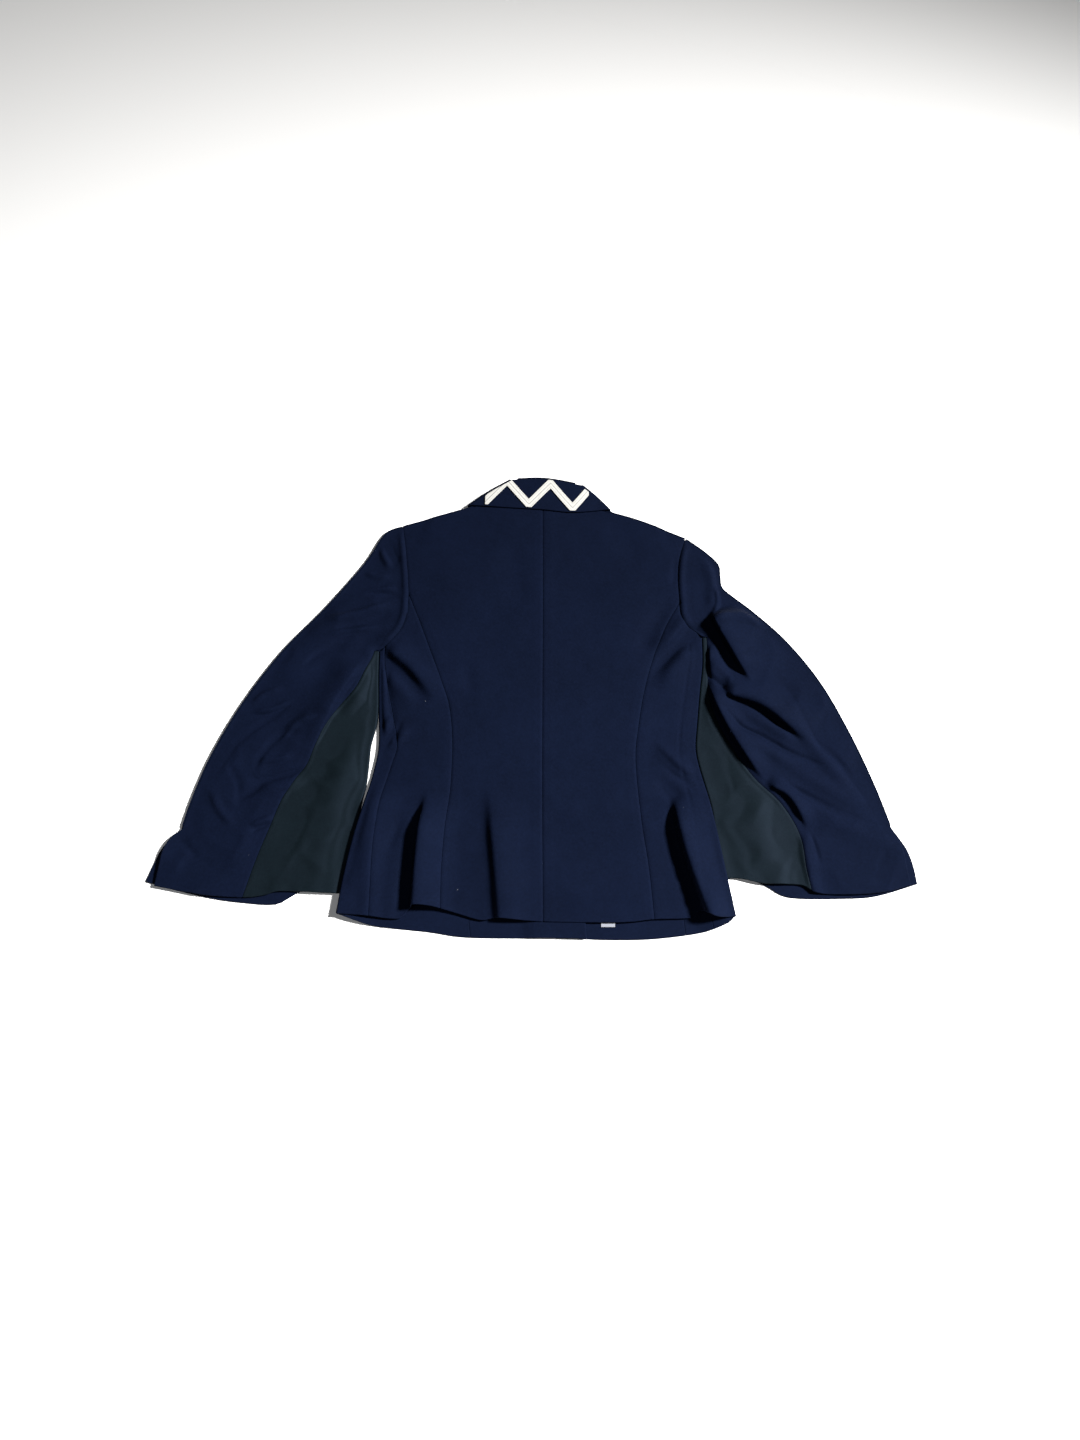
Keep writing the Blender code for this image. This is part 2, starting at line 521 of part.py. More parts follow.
def make_side_fronts(finish):
    """The side fronts. The left one turns up round the side to the seam beside the back."""
    side, normal = outline_rows("left", "side", SPANS["side"])
    front, seam = along("left", "front_princess"), along("left", "side_seam")
    armhole = along("left", "front_armhole_low")[::-1]
    armhole = chain(armhole, underarm(side[-1], armhole[-1])[::-1])
    bottom = across(HEMS["front"], front[0, 0], side[0, 0], len(armhole) - 1)
    under = raised(patch(bottom, armhole, front, side), floor_height)
    top = even(np.array([side[-1], seam[-1]]), 3)
    bottom = across(HEMS["back"], side[0, 0], seam[0, 0], len(top) - 1)
    upper = raised(patch(bottom, top, side, seam), body_upper)
    upper[:, 0, :2] = under[:, -1, :2] = side
    turn = turned(side, normal, TURN_RADIUS, under[:, -1, 2], upper[:, 0, 2])
    cloth("side_front_left", np.concatenate([under, turn, upper], axis=1), finish)

    front, seam = along("right", "front_princess"), along("right", "side_seam")
    armhole = along("right", "front_armhole_low")[::-1]
    bottom = across(HEMS["front"], front[0, 0], seam[0, 0], len(armhole) - 1)
    cloth("side_front_right", raised(patch(bottom, armhole, front, seam), floor_height), finish)


def roll_line(side):
    """The roll line as rows, set in by its half round, with the normals towards the opening."""
    line = along(side, "roll")
    normal = outward(line, -TURN[side])
    return line - TURN_RADIUS * normal, normal


def make_fronts(finish):
    """The fronts: hem, front edge, roll line, gorge and shoulder, where they turn up to the back."""
    for side in SIDES:
        edge = chain(along(side, "front_princess"), along(side, "front_armhole_top"))
        shoulder, normal = outline_rows(side, "shoulder", SPANS["shoulder"])
        roll = roll_line(side)[0]
        gorge = even(np.array([roll[-1], shoulder[-1]]), SPANS["gorge_side"])
        front_edge = along(side, "front_edge")
        front_edge[-1] = roll[0]
        inner = chain(front_edge, roll, gorge)
        bottom = across(HEMS["front"], edge[0, 0], inner[0, 0], SPANS["shoulder"])
        plan = patch(bottom, shoulder, edge, inner)
        under = raised(plan, lambda points: front_height(points, side))
        turn = turned(shoulder, normal, TURN_RADIUS, under[-1, :, 2], body_upper(shoulder))
        cloth(f"front_{side}", np.concatenate([under, np.swapaxes(turn, 0, 1)], axis=0), finish)


def make_lapels(finish):
    """The lapels, turned under the fronts along the roll line."""
    for side, lines in LINES.items():
        roll, normal = roll_line(side)
        edge = even(lines["lapel_edge"], SPANS["roll"])
        top = chain(even(np.array([edge[-1], lines["gorge"][-1]]), 2),
                    even(np.array([lines["gorge"][-1], roll[-1]]), 3))
        bottom = even(np.array([edge[0], roll[0]]), len(top) - 1)
        under = raised(patch(bottom, top, edge, roll), flat)
        turn = turned(roll, normal, TURN_RADIUS, under[:, -1, 2], front_height(roll, side))
        cloth(f"lapel_{side}", np.concatenate([under, turn], axis=1), finish)


def leaf_height(points):
    """Middle of the turned-down collar leaf, clear of the back."""
    return body_upper(points) + COLLAR_LIFT


def collar_sides(side, rows):
    """A neck side of the collar, set in by its half round, with its normals."""
    line = even(LINES[side]["collar_side"], rows)
    normal = outward(line, TURN[side])
    return line - COLLAR_TURN * normal, normal


def leaf_plan(rows, columns):
    """Plan of the leaf's upper part, from its edge to the fold along its top."""
    left, right = collar_sides("left", rows)[0], collar_sides("right", rows)[0]
    bottom, top = even(smooth(LEAF_EDGE), columns), even(smooth(LEAF_FOLD), columns)
    bottom[0], bottom[-1] = left[0], right[0]
    top = top - COLLAR_FOLD * outward(top, 1)
    top[0], top[-1] = left[-1], right[-1]
    return patch(bottom, top, left, right)


def make_collar(leaf_finish, stand_finish):
    """The leaf, turned down over the back and round the neck sides, and the stand inside it."""
    parts = [raised(leaf_plan(LEAF_ROWS, LEAF_COLUMNS), leaf_height)]
    for side in SIDES:
        lines = LINES[side]
        line, normal = collar_sides(side, LEAF_ROWS)
        edge = even(lines["collar_edge"], LEAF_END_COLUMNS)
        roll = even(lines["collar_roll"], LEAF_END_COLUMNS)
        point, notch = lines["collar_end"][:2]
        end = chain(even(np.array([point, notch]), LEAF_ROWS - SPANS["gorge_side"]),
                    even(np.array([notch, roll_line(side)[0][-1]]), SPANS["gorge_side"]))
        edge[0], roll[0] = line[0], line[-1]
        under = raised(patch(edge, roll, line, end), flat)
        upper = parts[0][:, 0, 2] if side == "left" else parts[-1][:, -1, 2]
        turn = turned(line, normal, COLLAR_TURN, upper, under[:, 0, 2])
        if side == "left":
            parts = [under[:, ::-1], turn[:, ::-1]] + parts
        else:
            parts = parts + [turn, under]
    cloth("collar_leaf", np.concatenate(parts, axis=1), leaf_finish)

    ends = slice(STAND_SHORT, -STAND_SHORT)
    neck = chain(along("left", "neck"), along("right", "neck")[::-1])[ends]
    fold = even(leaf_plan(LEAF_ROWS, LEAF_COLUMNS)[-1][ends], len(neck) - 1)
    normal = outward(fold, 1)
    share = np.linspace(0, 1, STAND_ROWS + 1)[:, None]
    plan = share[..., None] * (fold - neck) + neck
    fold_top = leaf_height(fold)
    z = (1 - share) * body_upper(neck) + share * (fold_top - 2 * COLLAR_FOLD)
    stand = np.concatenate([plan, z[..., None]], axis=-1)
    turn = turned(fold, normal, COLLAR_FOLD, z[-1], fold_top)
    stand = np.concatenate([stand, np.swapaxes(turn, 0, 1)], axis=0)
    stand[0, :, 1] += SEAM_GAP
    cloth("collar_stand", stand, stand_finish)


def make_tape(finish):
    """A zigzag of tape on the leaf: straight strokes of one width, cut off along the leaf's edges."""
    plan = leaf_plan(LEAF_ROWS, LEAF_COLUMNS)
    edge, top = plan[0], np.concatenate([plan[:, 0], plan[-1, 1:-1], plan[::-1, -1]])
    steps = round((TAPE_ENDS[1] - TAPE_ENDS[0]) * MM / TAPE_STROKE * TAPE_STEPS)
    phase = np.arange(steps + 1) / TAPE_STEPS
    way = in_metres((TAPE_ENDS[0], 0))[0] + phase * TAPE_STROKE
    lowest = np.interp(way, edge[:, 0], edge[:, 1]) + TAPE_MARGIN
    highest = np.interp(way, top[:, 0], top[:, 1]) - TAPE_MARGIN
    half = TAPE_WIDTH / 2 * np.hypot(1, TAPE_RISE / TAPE_STROKE)
    centre = lowest + half / 2 + TAPE_RISE * np.abs((phase + 1) % 2 - 1)
    low, high = np.clip([centre - half, centre + half], lowest, highest)
    place = low + (high - low) * np.linspace(0, 1, TAPE_SPANS + 1)[:, None]
    points = np.stack([np.broadcast_to(way, place.shape), place], axis=-1)
    lift = WALL / 2 + TAPE_WALL / 2 + TAPE_CLEARANCE
    cloth("collar_tape", raised(points, lambda plan: leaf_height(plan) + lift), finish, TAPE_WALL)


def sleeve_outer_rows(side):
    """The outer sleeve line from the vent to the shoulder, set in by its half round, with normals."""
    line, knot = LINES[side]["sleeve_outer"], HEAD_KNOT * CURVE_STEPS
    line = chain(even(line[:knot + 1], SPANS["sleeve_low"]), even(line[knot:], SPANS["sleeve_head"]))
    normal = outward(line, TURN[side])
    return line - TURN_RADIUS * normal, normal


def shoulder_point(line, corner):
    """The line's last point moved a little back from the corner, to leave its row a length."""
    line = line.copy()
    line[-1] = corner + SLEEVE_POINT * (line[-2] - corner)
    return line


def make_sleeves(navy, green):
    """Top sleeves, green gussets let into their inner backs and under sleeves that carry the turns."""
    rows = SPANS["vent"] + SPANS["sleeve_low"]
    for side, lines in LINES.items():
        outer, normal = sleeve_outer_rows(side)
        inner, inner_normal = outline_rows(side, "sleeve_inner", rows, -1)
        seam = even(lines["gusset_seam"], rows)

        edge = chain(even(lines["vent_top"], SPANS["vent"]), outer)
        armhole = chain(seam, along(side, "sleeve_underarm"), along(side, "armhole_low"),
                        along(side, "armhole_top"))
        armhole = shoulder_point(armhole, outer[-1])
        bottom = across(CUFFS[side]["top"], edge[0, 0], seam[0, 0], TOP_SLEEVE_SPANS)
        top = even(np.array([edge[-1], armhole[-1]]), TOP_SLEEVE_SPANS)
        cloth(f"sleeve_top_{side}", raised(patch(bottom, top, edge, armhole), sleeve_upper), navy)

        bottom = across(CUFFS[side]["top"], seam[0, 0], inner[0, 0], GUSSET_SPANS)
        apex = even(np.array([seam[-1], inner[-1]]), GUSSET_SPANS)
        upper = raised(patch(bottom, apex, seam, inner), sleeve_upper)
        line = upper[:, -1, :2]
        turn = turned(line, inner_normal, TURN_RADIUS, upper[:, -1, 2], flat(line))
        rim = raised(line[:, None], flat)
        cloth(f"sleeve_gusset_{side}", np.concatenate([upper, turn, rim], axis=1), green)

        vent = even(lines["vent_under"], SPANS["vent"])
        vent_normal = outward(vent, TURN[side])
        edge = chain(vent - TURN_RADIUS * vent_normal, outer)
        normals = np.vstack([vent_normal[:-1], normal])
        low = along(side, "front_armhole_low")
        armhole = chain(inner, underarm(inner[-1], low[0]), low, along(side, "front_armhole_top"))
        armhole = shoulder_point(armhole, outer[-1])
        bottom = across(CUFFS[side]["under"], edge[0, 0], inner[0, 0], UNDER_SLEEVE_SPANS)
        top = even(np.array([edge[-1], armhole[-1]]), UNDER_SLEEVE_SPANS)
        under = raised(patch(bottom, top, edge, armhole), flat)
        line = under[:, 0, :2]
        turn = turned(line, normals, TURN_RADIUS, sleeve_upper(line), under[:, 0, 2])
        turn = np.concatenate([raised(line[:, None], sleeve_upper), turn], axis=1)
        spread = np.linspace(1, 0, TURN_STEPS + 1)[:-1][None, :, None] * TURN_RADIUS
        level = raised(line[:, None] + spread * normals[:, None], flat)
        closed = ease((np.arange(len(line)) - SPANS["vent"] + 1) / 2)[:, None, None]
        turn = closed * turn + (1 - closed) * level
        cloth(f"sleeve_under_{side}", np.concatenate([turn, under], axis=1), navy)


def make_buttons(finish):
    """Two round buttons on the hidden front, narrower below."""
    for name, place in BUTTONS.items():
        mesh = bpy.data.meshes.new(name)
        shape = bmesh.new()
        bmesh.ops.create_cone(shape, cap_ends=True, segments=BUTTON_SIDES, depth=BUTTON_THICKNESS,
                              radius1=BUTTON_RADIUS * BUTTON_FACE, radius2=BUTTON_RADIUS)
        shape.to_mesh(mesh)
        shape.free()
        mesh.materials.append(finish)
        button = bpy.data.objects.new(name, mesh)
        x, y = in_metres(place)
        button.location = (x, y, BUTTON_THICKNESS / 2)
        bpy.context.scene.collection.objects.link(button)


def make_label(finish):
    """A small blank label on the inside of the right front, at the hem."""
    left, right, low, high = LABEL
    corners = in_metres([(left, low), (right, low), (left, high), (right, high)])
    plan = patch(even(corners[:2], 3), even(corners[2:], 3), even(corners[::2], 2), even(corners[1::2], 2))
    rise = WALL / 2 + LABEL_WALL / 2 + CLEARANCE
    cloth("inner_label", raised(plan, lambda points: front_height(points, "right") + rise), finish,
          LABEL_WALL)


def main():
    """Clear the scene and make every piece."""
    for thing in list(bpy.data.objects):
        bpy.data.objects.remove(thing, do_unlink=True)
    navy = material("navy_cloth", NAVY, 0.75)
    under_navy = material("navy_cloth_dark", NAVY_DARK, 0.75)
    green = material("green_cloth", GREEN, 0.85)
    white = material("white_tape", WHITE, 0.6)
    make_backs(navy)
    make_side_backs(navy)
    make_side_fronts(navy)
    make_fronts(navy)
    make_lapels(navy)
    make_collar(navy, under_navy)
    make_tape(white)
    make_sleeves(navy, green)
    make_buttons(material("navy_button", BUTTON_NAVY, 0.4))
    make_label(white)


main()
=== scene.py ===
"""The looks of a tailored jacket that lies face down on a pale floor, its back uppermost.

Each cut piece of cloth is one closed shell of even thickness with a rounded rim. Its plan is blended
from its four edges. Its height comes from the layers under it, the swell of the garment, the folds and
the creases, and the dips along its seams. X runs across the jacket, Y from the hem to the collar and Z
up from the floor. Sizes are in metres, and the tables of points hold millimetres.
"""
import logging
import math
from dataclasses import dataclass, field
from enum import Enum
from typing import Any, NamedTuple, Optional, Sequence, Union

import bpy
import numpy as np
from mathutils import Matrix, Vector


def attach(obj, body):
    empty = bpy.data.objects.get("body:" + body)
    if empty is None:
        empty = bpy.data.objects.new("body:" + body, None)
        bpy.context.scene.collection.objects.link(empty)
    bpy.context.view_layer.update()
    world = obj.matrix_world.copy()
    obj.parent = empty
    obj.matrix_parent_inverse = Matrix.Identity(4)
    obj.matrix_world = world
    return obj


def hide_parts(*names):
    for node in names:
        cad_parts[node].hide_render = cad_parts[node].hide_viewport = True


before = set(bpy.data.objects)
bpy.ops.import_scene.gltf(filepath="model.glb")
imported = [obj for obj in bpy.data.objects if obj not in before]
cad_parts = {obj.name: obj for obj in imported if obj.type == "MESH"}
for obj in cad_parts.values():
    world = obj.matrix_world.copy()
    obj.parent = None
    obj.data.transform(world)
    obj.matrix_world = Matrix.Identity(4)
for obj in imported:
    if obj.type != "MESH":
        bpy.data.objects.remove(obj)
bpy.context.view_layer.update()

log = logging.getLogger("jacket")

MM = 0.001
ORIGIN = (-11.5, 28.3)        # the point of the tables that the model stands on
BODY = "root"
CURVE_STEPS = 10              # points of a smooth line between two points of its table
CHUNK = 400_000               # distances worked out at a time
BELL_REACH = 3                # widths from its middle at which a bell has all but run out
BELL_END = 50                 # exponent past which it is nothing
LATTICE = 64                  # random values each way, over which the noise repeats
LATTICE_SHIFT = 32.37         # keeps the middle of the jacket away from the lattice's edge

Points = np.ndarray

# Outlines and seams of each side. Columns: x, y. Each runs upwards, from the hem or the cuff.
LEFT = {
    "side": [(-263, -266), (-256, -218), (-245, -163), (-233, -118), (-222, -73), (-216.5, -38),
             (-218, 10), (-220, 60), (-220.3, 98)],
    "side_seam": [(-222, -268), (-221, -222), (-219, -169), (-212, -114), (-199, -66), (-192, -39),
                  (-196, -10), (-207, 45), (-213, 84), (-213, 105)],
    "princess": [(-128, -260), (-127, -205), (-123, -142), (-118.5, -85), (-118, -30), (-123, 17),
                 (-135, 56), (-151, 99), (-166, 140), (-183, 182.5)],
    "front_princess": [(-90, -297), (-100, -200), (-111, -105), (-112, -40), (-121, 25),
                       (-142, 95), (-167, 155)],
    "armhole_low": [(-213, 105), (-206, 112), (-193, 129), (-185, 152), (-183, 182.5)],
    "armhole_top": [(-183, 182.5), (-185, 211), (-189, 250.5), (-194, 287.5)],
    "front_armhole_low": [(-203, 102.5), (-188, 112), (-175, 131), (-167, 155)],
    "front_armhole_top": [(-167, 155), (-166, 192.5), (-173, 235.5), (-194, 287.5)],
    "shoulder": [(-194, 287.5), (-141, 303.5), (-92, 318.5)],
    "neck": [(-92, 318.5), (-50, 323.5), (4, 325.5)],
    "sleeve_outer": [(-474, -153), (-461, -105), (-440, -47), (-404, 24), (-355, 98), (-299, 162),
                     (-247, 229), (-225, 267.5), (-213, 280.5), (-195, 287)],
    "vent_under": [(-516, -223), (-508, -202), (-499, -180), (-487, -165), (-474, -153)],
    "vent_top": [(-503, -229), (-499, -205), (-495, -181), (-487, -165), (-474, -154)],
    "sleeve_inner": [(-245, -236), (-242, -168), (-238, -120), (-232, -90), (-229.5, -62), (-228, -38),
                     (-221.5, -8), (-220.4, 20), (-221.9, 60), (-222.2, 98)],
    "gusset_seam": [(-387, -243), (-371, -190), (-357, -151), (-344, -115), (-328, -86), (-312, -64),
                    (-303, -36), (-293, -10), (-273, 17), (-252, 42), (-239, 70), (-231, 88), (-227.5, 98.6)],
    "sleeve_underarm": [(-227.5, 98.6), (-220, 99.8), (-213, 105)],
    "front_edge": [(60, -297), (50, -140), (42, 20), (20, 72)],
    "roll": [(20, 72), (-8, 130), (-36, 203), (-56, 288.5)],
    "lapel_edge": [(15, 79), (-50, 99), (-100, 146), (-130, 198), (-138, 245.5)],
    "gorge": [(-56, 288.5), (-100, 267.5)],
    "collar_end": [(-126, 278.5), (-100, 267.5), (-56, 288.5)],
    "collar_roll": [(-43, 358.5), (-51, 325.5), (-56, 288.5)],
    "collar_edge": [(-103, 318.5), (-119, 301.5), (-126, 278.5)],
    "collar_side": [(-103, 318.5), (-74, 339.5), (-43, 358.5)],
}
RIGHT = {
    "side": [(252.5, -270), (241, -205), (231, -150), (220.5, -100), (212, -66), (208.5, -40),
             (212, -5), (217, 40), (222, 80), (222.6, 118)],
    "side_seam": [(224, -283), (207, -165), (190, -70), (187, -40), (194, 20), (204, 80), (205, 123)],
    "princess": [(148, -272), (142, -203), (134, -142), (128, -60), (133, -11), (142, 39),
                 (155, 86), (172, 130), (194, 169.5)],
    "front_princess": [(188, -292), (180, -200), (168, -105), (160, -40), (162, 25), (169, 95),
                       (178, 160)],
    "armhole_low": [(216, 126), (204, 135), (195.5, 148), (194, 169.5)],
    "armhole_top": [(194, 169.5), (193, 202), (196, 235.5), (205, 268.5)],
    "front_armhole_low": [(205, 123), (190, 138), (178, 160)],
    "front_armhole_top": [(178, 160), (176, 198), (183.5, 235.5), (205, 268.5)],
    "shoulder": [(205, 268.5), (141, 295.5), (88, 312)],
    "neck": [(88, 312), (48, 321.5), (4, 325.5)],
    "sleeve_outer": [(464, -150), (446, -93), (420, -25), (384, 50), (340, 112), (296, 156),
                     (268, 179.5), (254, 193.5), (252, 211), (249.5, 229), (231, 248.5), (206.5, 267.5)],
    "vent_under": [(493, -226), (490, -203), (484, -182), (475, -166), (464, -150)],
    "vent_top": [(484, -228), (480, -205), (477, -184), (472, -166), (464, -151)],
    "sleeve_inner": [(236, -219), (233, -190), (231, -154), (228.3, -125), (222.6, -100), (213.9, -66),
                     (210.5, -40), (213.9, -5), (218.9, 40), (223.9, 80), (224.5, 118)],
    "gusset_seam": [(354, -237), (348, -206), (342, -160), (320, -119), (284, -82), (253, -32),
                    (236, 8), (229.5, 45), (230, 80), (229.9, 118.6)],
    "sleeve_underarm": [(229.9, 118.6), (223, 120), (216, 126)],
    "front_edge": [(20, -297), (10, -140), (2, 20)],
    "roll": [(2, 20), (36, 110), (58, 198), (69, 280.5)],
    "lapel_edge": [(3, 26), (70, 75), (118, 132), (146, 192.5), (150, 237.5)],
    "gorge": [(69, 280.5), (112, 261.5)],
    "collar_end": [(138, 271.5), (112, 261.5), (69, 280.5)],
    "collar_roll": [(61, 349.5), (67, 317.5), (69, 280.5)],
    "collar_edge": [(100, 311.5), (128, 295.5), (138, 271.5)],
    "collar_side": [(100, 311.5), (82, 330.5), (61, 349.5)],
}

# Edges that run from side to side. Columns: x, y
HEM_BACK = [(-263, -266), (-226, -268.5), (-183, -272), (-168, -259), (-140, -257), (-109, -265),
            (-77, -274), (-55, -272), (4, -276), (103, -277), (148, -273), (196, -271), (211, -262),
            (232, -271), (252.5, -270)]
HEM_FRONT = [(-263, -266), (-220, -280), (-181, -285), (-142, -289), (-90, -296), (26, -297),
             (103, -299), (155, -297), (207, -290), (239, -280), (252.5, -270)]
CUFF_TOP = {
    "left": [(-503, -229), (-462, -237), (-428, -242), (-383, -244), (-358, -241), (-338, -236),
             (-286, -238), (-240, -240)],
    "right": [(230, -220), (258, -219), (293, -226), (340, -228), (356, -237), (377, -240),
              (416, -240), (449, -237), (484, -228)],
}
CUFF_UNDER = {
    "left": [(-516, -223), (-480, -233), (-428, -245), (-384, -251), (-345, -253), (-326, -244),
             (-312, -236), (-286, -234), (-240, -236)],
    "right": [(230, -217), (270, -219), (295, -229), (326, -244), (404, -245), (443, -241),
              (493, -226)],
}
LEAF_EDGE = [(-103, 318.5), (-51, 313.5), (4, 309.5), (49, 305.5), (100, 311.5)]
LEAF_FOLD = [(-43, 358.5), (7, 359.5), (61, 349.5)]
CENTRE_BACK = [(4, -276), (3, -88), (4, 140), (4, 325.5)]

BUTTONS = {"button_upper": (23, 8), "button_lower": (28, -84)}      # x, y of their centres
LABEL = (79, 97, -282.5, -266)                                      # x from and to, y from and to


class Fold(NamedTuple):
    """A main fold: a bell across a line through three points.

    The height is its crest, or its depth where negative. The left and right widths are those of its
    two sides as the line runs. It rises and falls over shares of its length, 0 where it runs out over
    a hem. The lean is how far its crest is pushed to the left of the line, so that a wall overhangs.
    """
    start: tuple
    mid: tuple
    end: tuple
    height: float
    left: float
    right: float
    rise: float
    fall: float
    lean: float = 0.0


FOLDS = [
    Fold((-148, -98), (-155, -186), (-159, -263), 17.0, 26, 6.0, 0.35, 0.0, -6),  # left skirt flare
    Fold((-157, -108), (-170, -186), (-180, -263), -3.0, 6, 9, 0.30, 0.0),
    Fold((-66, -88), (-55, -185), (-47, -276), 9.0, 28, 10, 0.40, 0.0, -3),  # the flare beside it
    Fold((178, -104), (197, -188), (223, -268), 18.0, 18, 6.0, 0.30, 0.0, -6),  # right skirt flare
    Fold((170, -108), (185, -188), (208, -268), -3.0, 6, 10, 0.30, 0.0),
    Fold((-230, -70), (-224, -160), (-222, -268), 3.0, 14, 14, 0.35, 0.0),  # left skirt side
    Fold((150, -32), (180, -60), (208, -84), 4.5, 8, 9, 0.35, 0.35),  # waist, right
    Fold((152, -84), (174, -100), (190, -118), -2.5, 7, 7, 0.35, 0.35),
    Fold((-212, 106), (-172, 72), (-132, 18), 6.5, 15, 8, 0.20, 0.45, -3),  # from the left underarm
    Fold((-222, 92), (-182, 56), (-150, 16), -4.0, 8, 8, 0.20, 0.45),
    Fold((-212, 66), (-190, 42), (-166, 4), 2.5, 10, 10, 0.30, 0.45),
    Fold((-217, 92), (-214, 34), (-207, -26), 4.0, 5, 4, 0.20, 0.25, -1.5),  # strip beside the side seam
    Fold((220, 134), (186, 99), (144, 50), -5.0, 8, 9, 0.20, 0.40),  # from the right underarm
    Fold((212, 104), (184, 74), (160, 34), 6.5, 14, 12, 0.30, 0.45),
    Fold((206, 156), (182, 122), (156, 96), 4.5, 7, 10, 0.30, 0.40, 2),
    Fold((184, 177), (150, 122), (145, 84), -3.0, 9, 13, 0.30, 0.45),  # beside the right blade
    Fold((-43, 267.5), (-34, 209.5), (-22, 150), -1.8, 14, 18, 0.35, 0.45),  # beside the centre back
    Fold((90, 305.5), (117, 270.5), (148, 203), -2.2, 16, 16, 0.35, 0.45),
    Fold((-215, 209.5), (-290, 140), (-352, 56), 2.6, 18, 22, 0.35, 0.40),  # left sleeve
    Fold((-202, 160), (-262, 122), (-332, 22), -1.2, 12, 12, 0.25, 0.40),
    Fold((-192, 134), (-226, 98), (-272, 44), 3.0, 10, 14, 0.30, 0.45),
    Fold((-240, 92), (-280, 30), (-316, -56), 9.0, 8, 20, 0.30, 0.30, 4),  # above the left gusset
    Fold((-304, -80), (-342, -94), (-388, -102), 3.0, 9, 12, 0.35, 0.40, 2),
    Fold((-240, 20), (-262, -80), (-300, -240), 4.0, 22, 22, 0.35, 0.0),  # left gusset
    Fold((-230, 84), (-244, 40), (-270, -12), 4.5, 12, 13, 0.25, 0.40),
    Fold((226.5, 245.5), (242, 201), (238, 152), 4.5, 8, 10, 0.35, 0.25),  # right sleeve head
    Fold((230, 144), (284, 148), (326, 134), 8.0, 9, 10, 0.25, 0.35),
    Fold((238, 158), (264, 110), (294, 50), 17.0, 28, 6, 0.20, 0.30, -8),
    Fold((238, 88), (252, 66), (264, 46), 5.0, 7, 7, 0.30, 0.30),
    Fold((247, 42), (306, 19), (366, -36), 14.0, 22, 6, 0.16, 0.35, -6),
    Fold((264, 16), (310, -12), (366, -44), 3.5, 8, 9, 0.35, 0.40),
    Fold((230, 58), (257, -10), (304, -92), 12.0, 15, 6, 0.25, 0.25, -5),  # above the right gusset
    Fold((237, 112), (238, 78), (242, 40), 6.0, 9, 6, 0.30, 0.30, -4),
    Fold((262, -6), (306, -46), (352, -72), 5.0, 11, 10, 0.35, 0.40),
    Fold((322, -64), (376, -94), (440, -132), 4.0, 11, 11, 0.35, 0.35),
    Fold((334, 24), (374, -50), (446, -136), 4.0, 9, 11, 0.35, 0.35),
    Fold((300, -88), (334, -108), (358, -156), 8.0, 12, 6, 0.25, 0.30, -4),
    Fold((352, -150), (350, -190), (358, -240), 4.5, 11, 9, 0.30, 0.0),
    Fold((252, -30), (284, -124), (310, -228), 3.0, 20, 20, 0.35, 0.0),  # right gusset
]


class Crease(NamedTuple):
    """A fine crease along a line of points: a height, or a depth where negative, and its two widths."""
    points: tuple
    height: float
    left: float
    right: float
    rise: float = 0.35
    fall: float = 0.35


